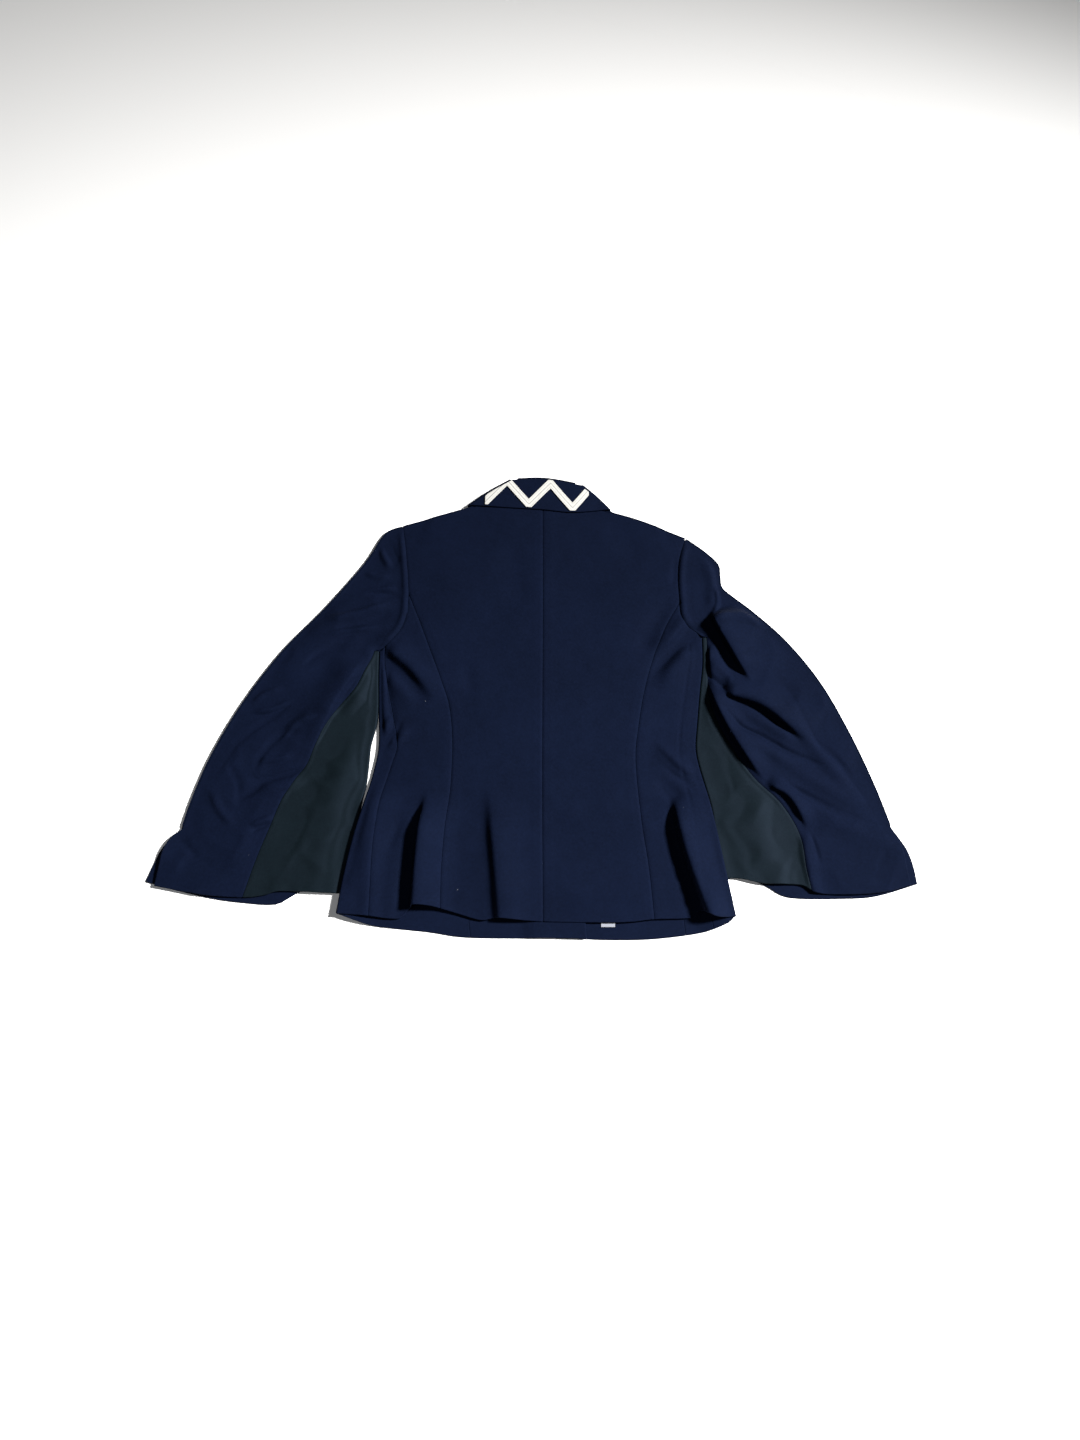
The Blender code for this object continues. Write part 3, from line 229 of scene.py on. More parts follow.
CREASES = [
    Crease(((-213, 98), (-208, 50), (-199, 2), (-194, -30), (-200, -62)), -3.0, 3, 3, 0.1, 0.4),  # side seam
    Crease(((-252, 218.5), (-228, 209.5), (-204, 209.5)), 2.5, 3.5, 5),  # left sleeve, above
    Crease(((-262, 199), (-232, 192.5), (-206, 199)), -2.1, 4, 4),
    Crease(((-300, 118), (-262, 128), (-214, 132)), 2.9, 5, 4),
    Crease(((-330, 70), (-300, 96), (-262, 110)), -2.5, 4, 6),
    Crease(((-346, 44), (-372, 36), (-396, 20)), 2.5, 4, 4),
    Crease(((-300, 4), (-326, -6), (-352, -34)), 3.4, 4, 6),
    Crease(((-322, -20), (-346, -22), (-372, -50), (-384, -78)), -2.9, 4, 5),
    Crease(((-330, -52), (-352, -58), (-384, -62)), 2.8, 3.5, 5),
    Crease(((-420, -60), (-404, -88), (-398, -124)), -2.4, 5, 4),
    Crease(((-440, -96), (-424, -128), (-402, -150)), 2.4, 6, 5),
    Crease(((-476, -206), (-452, -196), (-424, -200)), -2.1, 5, 5),
    Crease(((-216, 261.5), (-208, 241.5), (-198, 225)), -5.7, 5, 6),  # left sleeve head
    Crease(((-226, 257.5), (-218, 237.5), (-207, 218.5)), 3.5, 5, 5),
    Crease(((-247, 182.5), (-220, 182.5), (-193, 179.5)), -2.1, 3.5, 3.5),
    Crease(((-250, 190), (-222, 190), (-196, 188)), 2.1, 4, 4),
    Crease(((-303, 142), (-250, 154), (-198, 172)), 4.6, 5, 8),
    Crease(((-290, 128), (-244, 140), (-200, 156)), -2.8, 5, 5),
    Crease(((-334, 22), (-365, 6), (-400, 3)), -4.2, 3, 3),  # left sleeve, below
    Crease(((-330, 28), (-362, 13), (-396, 9)), 2.9, 4, 4),
    Crease(((-338, 14), (-377, -9), (-414, -42), (-436, -88)), -3.4, 3.5, 5),
    Crease(((-308, -67), (-335, -76), (-368, -85), (-392, -86)), -6.6, 5, 3.5),
    Crease(((-362, -89), (-388, -104), (-408, -116)), -3.8, 5, 5),
    Crease(((-352, -143), (-383, -157)), -4.6, 3, 3),
    Crease(((-350, -136), (-384, -150)), 2.8, 4, 4),
    Crease(((-478, -164), (-463, -178), (-446, -193)), -2.9, 4, 4),
    Crease(((-184, -3), (-200, -22), (-210, -42)), -5.2, 3.5, 3.5),  # pinch at the waist
    Crease(((-176, -10), (-190, -30), (-200, -48)), 2.3, 6, 6),
    Crease(((-196, 4), (-206, -8), (-214, -26)), 3.6, 5, 5),
    Crease(((-182, -136), (-203, -188)), -1.6, 6, 6),
    Crease(((-104, 84), (-91, 28)), -1.3, 10, 10),
    Crease(((191.5, 243.5), (188, 215), (185, 190)), -1.8, 5, 5),  # right back
    Crease(((210, 130), (224, 124), (232, 113)), -1.3, 2, 2),
    Crease(((160, -65), (187, -85), (214, -105)), -1.8, 4, 4),
    Crease(((148, -34), (179, -67), (206, -92)), -1.4, 4, 4),
    Crease(((149, -88), (169, -107), (182, -125)), -1.6, 5, 5),
    Crease(((240, 30), (259, 5), (275, -13), (301, -27), (330, -45), (363, -60), (384, -68)), -5.8, 3, 4),
    Crease(((312, -78), (339, -98), (368, -116), (401, -133), (444, -147)), -4.6, 4, 4),
    Crease(((320, 64), (341, 35), (369, -27), (387, -47), (409, -74), (429, -102), (447, -133), (464, -156)),
           -3.5, 4, 4, 0.5, 0.12),
    Crease(((383, 19), (390, -13), (412, -31)), -2.6, 8, 8),
    Crease(((245, 199), (247, 168.5), (237, 146)), 3.8, 3, 3),
    Crease(((229, 70), (244, 51), (260, 33)), -3.8, 4, 4),
    Crease(((237, 140), (250, 112), (264, 88), (280, 62)), -6.5, 7, 7),
    Crease(((246, 32), (277, 28), (303, 14), (327, -9), (358, -37)), -5.2, 6, 6),
    Crease(((355, -157), (361, -176), (367, -202)), -3.1, 3, 3),
    Crease(((457, -182), (438, -208)), -2.2, 4, 4),
    Crease(((306, -94), (326, -108), (340, -126), (350, -154)), -3.1, 3, 3),
]


class Cut(NamedTuple):
    """What a piece is cut to before it is sewn, in metres and square metres."""
    width: float
    length: float
    area: float


# ---------------------------------------------------------------- lines and grids

def in_metres(points: Any) -> Points:
    """Table points, in millimetres, as metres about the model's origin."""
    return (np.asarray(points, float) - ORIGIN) * MM


def smooth(points: Any) -> Points:
    """Dense smooth line through table points: a cubic for each span, with the slope of its chord."""
    knots = in_metres(points)
    knots = np.vstack([2 * knots[:1] - knots[1:2], knots, 2 * knots[-1:] - knots[-2:-1]])
    t = np.linspace(0, 1, CURVE_STEPS, endpoint=False)[:, None]
    pieces = []
    for before, start, end, after in zip(knots, knots[1:], knots[2:], knots[3:]):
        slope_in, slope_out = (end - before) / 2, (after - start) / 2
        pieces.append(start + slope_in * t + (3 * (end - start) - 2 * slope_in - slope_out) * t ** 2
                     + (2 * (start - end) + slope_in + slope_out) * t ** 3)
    return np.vstack(pieces + [knots[-2:-1]])


def lengths(line: Points) -> Points:
    """Distance along a line at each of its points."""
    return np.append(0, np.cumsum(np.linalg.norm(np.diff(line, axis=0), axis=1)))


def even(line: Points, count: int) -> Points:
    """The line as count spans of equal length."""
    length = lengths(line)
    places = np.linspace(0, length[-1], count + 1)
    return np.stack([np.interp(places, length, line[:, axis]) for axis in range(line.shape[1])], axis=1)


def spans(line: Points, cell: float) -> int:
    """How many cells of about a given length a line takes."""
    return max(2, int(round(lengths(line)[-1] / cell)))


def chain(*lines: Points) -> Points:
    """Lines joined end to end, the shared points kept once."""
    return np.vstack([lines[0]] + [line[1:] for line in lines[1:]])


def cut(cell: float, *lines: Points) -> Points:
    """Lines joined end to end, each in even spans of about one cell, so that their corners stay."""
    return chain(*[even(line, spans(line, cell)) for line in lines])


def straight(start: Points, end: Points, count: int) -> Points:
    """A straight line as count spans."""
    return even(np.array([start, end]), count)


def across(line: Points, start_x: float, end_x: float, count: int) -> Points:
    """The part of a line that is a function of x, between two places, as count even steps of x."""
    x = np.linspace(start_x, end_x, count + 1)
    order = np.argsort(line[:, 0])
    return np.stack([x, np.interp(x, line[order, 0], line[order, 1])], axis=1)


def raised(points: Points, z: Any) -> Points:
    """Plan points with their heights."""
    return np.concatenate([points, np.broadcast_to(z, points.shape[:-1])[..., None]], axis=-1)


def outward(line: Points, turn: int) -> Points:
    """Unit normals of a line, to its left where turn is 1 and to its right where it is -1."""
    tangent = np.gradient(line, axis=0)
    tangent /= np.linalg.norm(tangent, axis=1, keepdims=True)
    return turn * np.stack([-tangent[:, 1], tangent[:, 0]], axis=1)


def patch(bottom: Points, top: Points, left: Points, right: Points) -> Points:
    """Plan of a piece blended from its four edges: rows run from bottom to top, columns left to right.

    Each point is the blend of left and right, plus the blend of bottom and top, less the blend of the
    four corners.
    """
    left, right = left.copy(), right.copy()
    left[0], left[-1], right[0], right[-1] = bottom[0], top[0], bottom[-1], top[-1]
    u = np.linspace(0, 1, len(bottom))[None, :, None]
    v = np.linspace(0, 1, len(left))[:, None, None]
    corners = ((1 - u) * (1 - v) * bottom[0] + u * (1 - v) * bottom[-1]
               + (1 - u) * v * top[0] + u * v * top[-1])
    return (1 - v) * bottom + v * top + (1 - u) * left[:, None] + u * right[:, None] - corners


def ease(value: Any) -> Points:
    """Smooth step from 0 to 1."""
    value = np.clip(value, 0, 1)
    return value * value * (3 - 2 * value)


def bell(distance: Points, width: Any) -> Points:
    """1 at no distance, and softly to nothing over a few widths: e to the power of -(d / w) squared."""
    return np.exp(-np.minimum((distance / width) ** 2, BELL_END))


class Way(NamedTuple):
    """Where points lie beside a line: distance, offset (left is positive), share and length along it."""
    distance: Points
    offset: Points
    share: Points
    length: Points


def beside(points: Points, line: Points) -> Way:
    """Finds the nearest place on a line for each point, some thousands of points at a time."""
    flat = points.reshape(-1, 2)
    start, step = line[:-1], np.diff(line, axis=0)
    square = np.maximum((step * step).sum(-1), 1e-18)
    marks = lengths(line)
    found = [np.empty(len(flat)) for _ in range(4)]
    size = max(1, CHUNK // len(step))
    for low in range(0, len(flat), size):
        part = slice(low, low + size)
        gap = flat[part, None] - start
        t = np.clip((gap * step).sum(-1) / square, 0, 1)
        miss = gap - t[..., None] * step
        far = (miss ** 2).sum(-1)
        nearest = far.argmin(-1)
        row = np.arange(len(nearest))
        near_t = t[row, nearest]
        near = miss[row, nearest]
        side = step[nearest, 0] * near[:, 1] - step[nearest, 1] * near[:, 0]
        distance = np.sqrt(far[row, nearest])
        found[0][part] = distance
        found[1][part] = distance * np.sign(side)
        found[2][part] = (nearest + near_t) / len(step)
        found[3][part] = marks[nearest] + near_t * np.sqrt(square[nearest])
    return Way(*[values.reshape(points.shape[:-1]) for values in found])


def near_box(points: Points, line: Points, margin: float) -> Points:
    """True for the points within a margin of a line's box."""
    low, high = line.min(0) - margin, line.max(0) + margin
    return ((points > low) & (points < high)).all(-1)


def inside(points: Points, ring: Points) -> Points:
    """1 within a closed ring of points and 0 outside it, by counting the edges crossed."""
    flat = points.reshape(-1, 2)
    count = np.zeros(len(flat), int)
    for start, end in zip(ring, np.roll(ring, -1, axis=0)):
        rise = end[1] - start[1] or 1e-12
        between = (start[1] > flat[:, 1]) != (end[1] > flat[:, 1])
        count += between & (flat[:, 0] < (end[0] - start[0]) * (flat[:, 1] - start[1]) / rise + start[0])
    return (count % 2).reshape(points.shape[:-1])


def lattice(points: Points, wavelength: float, seed: int) -> Points:
    """Smooth seeded noise about 0: random values on a square lattice, eased between their corners."""
    table = np.random.default_rng(seed).uniform(-1, 1, (LATTICE, LATTICE))
    place = points / wavelength + LATTICE_SHIFT
    cell = np.floor(place).astype(int)
    part = ease(place - cell)
    i, j = cell[..., 0] % LATTICE, cell[..., 1] % LATTICE
    i1, j1 = (i + 1) % LATTICE, (j + 1) % LATTICE
    low = table[i, j] * (1 - part[..., 0]) + table[i1, j] * part[..., 0]
    high = table[i, j1] * (1 - part[..., 0]) + table[i1, j1] * part[..., 0]
    return low * (1 - part[..., 1]) + high * part[..., 1]


# ---------------------------------------------------------------- the cut of the jacket

SIDES = {"left": LEFT, "right": RIGHT}
TURN = {"left": 1, "right": -1}
SLEEVE_GRAIN = {"left": 28, "right": -30}       # turn of the sleeves' warp, in degrees


@dataclass
class Pattern:
    """The seam lines and edges of the jacket as it lies, as smooth lines in metres."""
    lines: dict = field(default_factory=dict)

    def __post_init__(self) -> None:
        """Makes every line once."""
        for side, table in SIDES.items():
            self.lines[side] = {name: smooth(points) for name, points in table.items()}
            for name in ("gorge", "collar_end"):
                self.lines[side][name] = in_metres(table[name])
        self.hem_back, self.hem_front = smooth(HEM_BACK), smooth(HEM_FRONT)
        self.cuff_top = {side: smooth(CUFF_TOP[side]) for side in SIDES}
        self.cuff_under = {side: smooth(CUFF_UNDER[side]) for side in SIDES}
        self.centre = smooth(CENTRE_BACK)
        self.leaf_edge, self.leaf_fold = smooth(LEAF_EDGE), smooth(LEAF_FOLD)
        self.outline = [self.lines[side][name] for side in SIDES
                        for name in ("side", "shoulder", "sleeve_outer")]
        self.sleeve_outline = self.outline + [self.lines[side]["sleeve_inner"] for side in SIDES]
        self.upper_hems = [self.hem_back, self.cuff_top["left"], self.cuff_top["right"]]
        self.rings = {side: self.lapel_ring(side) for side in SIDES}
        self.overlap = np.vstack([self.lines["right"]["front_edge"],
                                  self.lines["left"]["front_edge"][::-1]])

    def lapel_ring(self, side: str) -> Points:
        """Outline of a lapel with the collar end above it, as one ring."""
        lines = self.lines[side]
        return np.vstack([lines["lapel_edge"], lines["gorge"][::-1][:1], lines["collar_edge"][::-1],
                          lines["collar_side"][1:], lines["collar_roll"][1:], lines["roll"][::-1][1:]])

    def seams(self, side: str) -> list:
        """Every seam of one side that shows on the upper layer."""
        return [self.lines[side][name] for name in
                ("princess", "side_seam", "armhole_low", "armhole_top", "gusset_seam", "sleeve_underarm")]


# ---------------------------------------------------------------- how the cloth lies

@dataclass
class Lie:
    """Heights of the layers: what each sheet lies on, the swell inside, folds, creases and seam dips."""
    pattern: Pattern
    wall: float = 0.0020
    clearance: float = 0.0003
    turn_radius: float = 0.0016
    body_swell: float = 0.0050
    sleeve_swell: float = 0.0034
    swell_reach: float = 0.020
    swell_from: float = 0.120
    swell_to: float = 0.190
    fold_fade: float = 0.012
    hem_press: float = 0.45
    hem_reach: float = 0.045
    skirt_rise: float = 0.0068
    skirt_width: float = 0.045
    skirt_hold: float = 0.25
    skirt_top: float = -0.085
    skirt_full: float = -0.125
    neck_rise: float = 0.0022
    cover_margin: float = 0.026
    cover_ramp: float = 0.018
    overlap_rise: float = 0.0030
    button_radius: float = 0.010
    button_rise: float = 0.0029
    button_margin: float = 0.022
    button_ramp: float = 0.080
    hollow_share: float = 0.70      # of the swell below a point that its dips may take
    hollow_spare: float = 0.0004
    seam_dip: float = -0.0010
    seam_width: float = 0.0015
    allowance: float = 0.00012      # ridge of a seam allowance pressed open inside
    allowance_at: float = 0.011
    allowance_width: float = 0.0030
    pucker: float = 0.00004
    pucker_pitch: float = 0.013
    pucker_width: float = 0.007
    pucker_at: float = 0.004
    pucker_wander: tuple = (0.05, 3.0, 11)      # wavelength, how far its phase wanders and seed
    head_roll: float = 0.0022       # sleeve head over its seam allowance
    head_roll_at: float = 0.0048
    head_roll_width: float = 0.004
    head_roll_rise: float = 0.35    # shares of the armhole over which it rises and falls
    head_roll_fall: float = 0.12
    leaf_rise: float = 0.0032       # the collar's leaf above the back
    leaf_wave: tuple = (0.03, 0.00025, 21)
    gusset_drop: float = 0.0012     # the gusset below the top sleeve, at a distance from their seam,
    gusset_reach: float = 0.006
    gusset_least: float = 0.0055    # and only where it lies higher than this
    gusset_ease: float = 0.002
    # Wavelength, height and seed of each size of noise.
    noise: tuple = ((0.085, 0.00050, 3), (0.042, 0.00034, 5), (0.021, 0.00014, 8))
    crumple: tuple = ((0.074, 0.0032, 31), (0.036, 0.0017, 34))     # angular creases of the sleeves
    crumple_sharp: float = 0.06
    crumple_middle: float = 0.25
    crumple_skew: float = 0.45      # slope at which their lines cross the jacket
    crumple_back: float = 0.12      # what the back has of them,
    crumple_from: float = 0.20      # up to this half width, and over how much they grow to all of it
    crumple_over: float = 0.05

    def __post_init__(self) -> None:
        """Heights that the others start from."""
        self.layer = self.wall + self.clearance
        self.floor_mid = self.wall / 2
        self.folds = [(fold, smooth([fold.start, fold.mid, fold.end])) for fold in FOLDS]
        self.creases = [(crease, smooth(crease.points)) for crease in CREASES]

    @staticmethod
    def from_centre(points: Points) -> Points:
        """Distance sideways from the tables' middle line."""
        return np.abs(points[..., 0] + ORIGIN[0] * MM)

    @staticmethod
    def nearest(points: Points, lines: Sequence[Points], reach: float = 0.10) -> Points:
        """Distance from points to the nearest of several lines, or the reach where that is less."""
        distance = np.full(points.shape[:-1], reach)
        for line in lines:
            near = near_box(points, line, reach)
            distance[near] = np.minimum(distance[near], beside(points[near], line).distance)
        return distance

    @staticmethod
    def strength(way: Way, rise: float, fall: float) -> Points:
        """How far a fold has risen at its length: eased in, and out where it doesn't meet a hem."""
        strength = ease(way.share / rise)
        return strength * ease((1 - way.share) / fall) if fall else strength

    def ridge(self, points: Points, form: Union[Fold, Crease], line: Points) -> tuple:
        """The points that a fold or crease reaches, and its share of its full height at each."""
        near = near_box(points, line, BELL_REACH * max(form.left, form.right) * MM)
        way = beside(points[near], line)
        width = np.where(way.offset > 0, form.left, form.right) * MM
        return near, self.strength(way, form.rise, form.fall) * bell(way.offset, width)

    def main_folds(self, points: Points) -> tuple:
        """Sum of the main folds and how far their crests lean, as (height, sideways vector)."""
        height, lean = np.zeros(points.shape[:-1]), np.zeros(points.shape)
        for fold, line in self.folds:
            near, share = self.ridge(points, fold, line)
            height[near] += fold.height * MM * share
            run = line[-1] - line[0]
            normal = np.array([-run[1], run[0]]) / np.hypot(*run)
            lean[near] += (fold.lean * MM * share)[:, None] * normal
        return height, lean

    def fine_creases(self, points: Points) -> Points:
        """Sum of the fine creases."""
        height = np.zeros(points.shape[:-1])
        for crease, line in self.creases:
            near, share = self.ridge(points, crease, line)
            height[near] += crease.height * MM * share
        return height

    def unevenness(self, points: Points) -> Points:
        """Slow small waves of cloth that has been worn: three sizes of smooth noise."""
        even_waves = sum(size * lattice(points, wavelength, seed) for wavelength, size, seed in self.noise)
        share = self.crumple_back + (1 - self.crumple_back) * ease(
            (self.from_centre(points) - self.crumple_from) / self.crumple_over)
        for wavelength, size, seed in self.crumple:
            wave = lattice(points @ np.array([[1.0, self.crumple_skew], [-self.crumple_skew, 1.0]]),
                           wavelength, seed)
            crest = self.crumple_middle - np.sqrt(wave ** 2 + self.crumple_sharp ** 2)
            even_waves = even_waves + share * size * crest
        return even_waves

    def seam_form(self, points: Points) -> Points:
        """Dips along the seams, the pressed allowances beside them and the small puckers of stitching."""
        height = np.zeros(points.shape[:-1])
        reach = self.allowance_at + BELL_REACH * self.allowance_width
        wavelength, wander, seed = self.pucker_wander
        lines = [line for side in SIDES for line in self.pattern.seams(side)] + [self.pattern.centre]
        for line in lines:
            near = near_box(points, line, reach)
            way = beside(points[near], line)
            ripple = np.cos(2 * math.pi * way.length / self.pucker_pitch
                            + wander * lattice(points[near], wavelength, seed))
            height[near] += (self.seam_dip * bell(way.distance, self.seam_width)
                             + self.allowance * bell(way.distance - self.allowance_at,
                                                     self.allowance_width)
                             + self.pucker * ripple * bell(way.distance - self.pucker_at, self.pucker_width))
        return height

    def skirt_lift(self, points: Points) -> Points:
        """Rise of the skirt's sides over the inner edges of the sleeves."""
        near = self.nearest(points, [self.pattern.lines[side]["side"] for side in SIDES])
        top, full = self.skirt_top - ORIGIN[1] * MM, self.skirt_full - ORIGIN[1] * MM
        sideways = ease(1 + self.skirt_hold - near / self.skirt_width)
        return self.skirt_rise * sideways * ease((top - points[..., 1]) / (top - full))

    def cover(self, points: Points, ring: Points) -> Points:
        """1 over a ring and softly down to 0 beside it."""
        share = np.zeros(points.shape[:-1])
        near = near_box(points, ring, self.cover_margin + self.cover_ramp)
        gap = beside(points[near], np.vstack([ring, ring[:1]])).distance
        outside = ease(1 - (gap - self.cover_margin) / self.cover_ramp)
        share[near] = np.where(inside(points[near], ring) == 1, 1.0, outside)
        return share

    def upper(self, points: Points, outline: Sequence[Points], body: bool, fine: bool = True) -> Points:
        """Places of the upper layer: low at the outline, swelling inwards, pressed at hems, folded.

        Args:
            points: plan points.
            outline: the lines at which this layer turns under.
            body: whether it lies on the sleeves' inner edges, as the skirt does.
            fine: whether creases, seam dips and noise are added to the main folds.

        Returns:
            The points with their heights, moved sideways where a fold leans.
        """
        depth = np.maximum(self.nearest(points, outline) - self.turn_radius, 0)
        rise = depth ** 2 / (depth ** 2 + self.swell_reach ** 2)
        share = ease((self.from_centre(points) - self.swell_from) / (self.swell_to - self.swell_from))
        swell = self.body_swell + (self.sleeve_swell - self.body_swell) * share
        press = self.hem_press + (1 - self.hem_press) * ease(
            self.nearest(points, self.pattern.upper_hems, self.hem_reach) / self.hem_reach)
        swell = swell * rise * press
        folds, lean = self.main_folds(points)
        fade = ease(depth / self.fold_fade)
        relief = folds * fade
        if fine:
            relief = relief + (self.fine_creases(points) + self.unevenness(points)) * fade
            relief = relief + self.seam_form(points) * ease(depth / (self.fold_fade / 2))
        room = self.hollow_share * swell + self.hollow_spare
        relief = np.where(relief < 0, -room * np.tanh(-relief / room), relief)
        lift = self.skirt_lift(points) if body else 0
        collar = np.max([self.cover(points, ring) for ring in self.pattern.rings.values()], axis=0)
        z = (self.floor_mid + 2 * self.turn_radius + swell + self.neck_rise * collar * (1 - rise)
             + lift + relief)
        return raised(points + lean * fade[..., None], z)

    def body(self, points: Points) -> Points:
        """The upper layer of the back."""
        return self.upper(points, self.pattern.outline, True)

    def sleeve(self, points: Points) -> Points:
        """The upper layer of the sleeves, with the roll of the sleeve head beside the armhole."""
        placed = self.upper(points, self.pattern.sleeve_outline, False)
        for side in SIDES:
            lines = self.pattern.lines[side]
            way = beside(points, chain(lines["armhole_low"], lines["armhole_top"]))
            placed[..., 2] += (self.head_roll * self.strength(way, self.head_roll_rise, self.head_roll_fall)
                               * bell(way.distance - self.head_roll_at, self.head_roll_width))
        return placed

    def leaf(self, points: Points) -> Points:
        """The turned-down collar leaf, clear of the back."""
        placed = self.upper(points, self.pattern.outline, True, fine=False)
        wavelength, height, seed = self.leaf_wave
        placed[..., 2] += self.leaf_rise + height * lattice(points, wavelength, seed)
        return placed

    def front(self, points: Points, side: str) -> Points:
        """A front: on the floor, over its lapel and the buttons; the left one over the right one."""
        right = self.floor_mid + self.layer * self.cover(points, self.pattern.rings["right"])
        for place in BUTTONS.values():
            far = np.linalg.norm(points - in_metres(place), axis=-1) - self.button_radius
            lift = ease(1 - (far - self.button_margin) / self.button_ramp)
            right = np.maximum(right, self.floor_mid + self.button_rise * lift)
        right = right + self.skirt_lift(points)
        z = right
        if side == "left":
            left = (self.floor_mid + self.layer * self.cover(points, self.pattern.rings["left"])
                    + self.skirt_lift(points))
            z = np.maximum(left, left + (right + self.overlap_rise - left)
                           * self.cover(points, self.pattern.overlap))
        return raised(points, z)

    def on_floor(self, points: Points) -> Points:
        """A sheet on the floor, lifted at the skirt's sides."""
        return raised(points, self.floor_mid + self.skirt_lift(points))

    def flat(self, points: Points) -> Points:
        """A sheet that lies on the floor all over."""
        return raised(points, self.floor_mid)


# ---------------------------------------------------------------- sheets of cloth as closed shells

def slide(grid: Points, distance: float, reach: float = 0.012, least_sine: float = 0.45,
          most: float = 0.4) -> Points:
    """Moves the ends of every row in along it by a distance, the points near them by less and less.

    The distance is divided by the sine of the angle between row and edge, so that slanting rows end as
    far from the edge as upright ones, down to a least sine, and is at most a share of the row.
    """
    step = np.linalg.norm(np.diff(grid, axis=1), axis=-1)
    place = np.concatenate([np.zeros((len(grid), 1)), np.cumsum(step, axis=1)], axis=1)
    total = place[:, -1:]
    moves = []
    for edge, inner in ((0, 1), (-1, -2)):
        run, line = grid[:, inner] - grid[:, edge], np.gradient(grid[:, edge], axis=0)
        size = np.linalg.norm(run, axis=-1) * np.linalg.norm(line, axis=-1)
        sine = np.linalg.norm(np.cross(run, line), axis=-1) / np.maximum(size, 1e-12)
        moves.append(np.minimum(distance / np.maximum(sine, least_sine)[:, None], most * total))
    width = np.minimum(total / 2, reach)
    target = (place + moves[0] * np.clip(1 - place / width, 0, 1)
              - moves[1] * np.clip(1 - (total - place) / width, 0, 1))
    rows, columns = place.shape
    offset = 2 * total.max() * np.arange(rows)[:, None]
    found = np.searchsorted((place + offset).ravel(), (target + offset).ravel(), side="right") - 1
    first = np.arange(rows)[:, None] * columns
    found = np.clip(found.reshape(rows, columns), first, first + columns - 2) - first
    row = np.arange(rows)[:, None]
    share = (target - place[row, found]) / np.maximum(step[row, found], 1e-12)
    share = np.clip(share, 0, 1)[..., None]
    return grid[row, found] * (1 - share) + grid[row, found + 1] * share


def inset(grid: Points, distance: float) -> Points:
    """A grid drawn in by a distance from all four edges."""
    return np.swapaxes(slide(np.swapaxes(slide(grid, distance), 0, 1), distance), 0, 1)


def firmed(grid: Points, share: float = 0.16) -> Points:
    """A grid with one more row and column near each edge, which keep the light's bend at the rim."""
    for axis in (0, 1):
        line = np.swapaxes(grid, 0, axis)
        first = (line[[1]] - line[[0]]) * share + line[[0]]
        last = (line[[-2]] - line[[-1]]) * share + line[[-1]]
        grid = np.swapaxes(np.concatenate([line[:1], first, line[1:-1], last, line[-1:]]), 0, axis)
    return grid


def unit(vectors: Points) -> Points:
    """Vectors of length 1, with the same directions."""
    return vectors / np.maximum(np.linalg.norm(vectors, axis=-1, keepdims=True), 1e-12)


def border(grid: Points) -> Points:
    """The values round a grid's edge as one loop, counter-clockwise from the side the normals show."""
    return np.concatenate([grid[0, :-1], grid[:-1, -1], grid[-1, :0:-1], grid[:0:-1, 0]])


@dataclass(frozen=True)
class Wall:
    """Section of a sheet: its thickness, the radius of its edges and half the gap at a seam."""
    thickness: float = 0.0020
    rim: float = 0.0009
    gap: float = 0.0
    rim_steps: int = 3

    def close(self, grid: Points) -> tuple:
        """Closes a grid into a shell.

        Both faces are the grid moved along its normals by half the thickness. A quarter round of
        radius rim joins each to the upright edge between them.

        Args:
            grid: rows by columns of points of the middle surface.

        Returns:
            The vertices, the quads and, for each vertex, the grid point that it came from.
        """
        grid = inset(grid, self.gap + self.rim)
        rows, columns, _ = grid.shape
        normal = unit(np.cross(np.gradient(grid, axis=1), np.gradient(grid, axis=0)))
        half = self.thickness / 2
        index = np.arange(rows * columns).reshape(rows, columns)
        loop = border(index)
        edge, edge_normal = grid.reshape(-1, 3)[loop], normal.reshape(-1, 3)[loop]
        run = np.roll(edge, -1, axis=0) - np.roll(edge, 1, axis=0)
        out = unit(np.cross(run, edge_normal))
        angles = np.linspace(0, math.pi / 2, self.rim_steps + 1)[1:]
        round_edge = [(self.rim * math.sin(angle), half - self.rim + self.rim * math.cos(angle))
                      for angle in angles]
        rings = [edge + out * aside + edge_normal * up for aside, up in round_edge]
        rings += [edge + out * aside - edge_normal * up for aside, up in round_edge[::-1]]
        faces_of_cloth = [(grid + half * normal).reshape(-1, 3), (grid - half * normal).reshape(-1, 3)]
        vertices = np.concatenate(faces_of_cloth + rings)
        source = np.concatenate([index.ravel(), index.ravel()] + [loop] * len(rings))
        quads = np.stack([index[:-1, :-1], index[:-1, 1:], index[1:, 1:], index[1:, :-1]],
                         axis=-1).reshape(-1, 4)
        faces = [quads, quads[:, ::-1] + index.size]
        starts = 2 * index.size + np.arange(len(rings)) * len(loop)
        bands = [loop] + [start + np.arange(len(loop)) for start in starts] + [loop + index.size]
        for upper, lower in zip(bands, bands[1:]):
            faces.append(np.stack([lower, np.roll(lower, -1), np.roll(upper, -1), upper], axis=-1))
        return vertices, np.concatenate(faces), source


CLOTH_MAP = "cloth"
CLOTH = Wall()
LOW_CLOTH = Wall(gap=-0.00008)          # sheets on the floor, which would show between them


def add_object(name: str, data: bpy.types.ID) -> bpy.types.Object:
    """A new object at the origin, linked to the scene."""
    made = bpy.data.objects.new(name, data)
    bpy.context.scene.collection.objects.link(made)
    return made


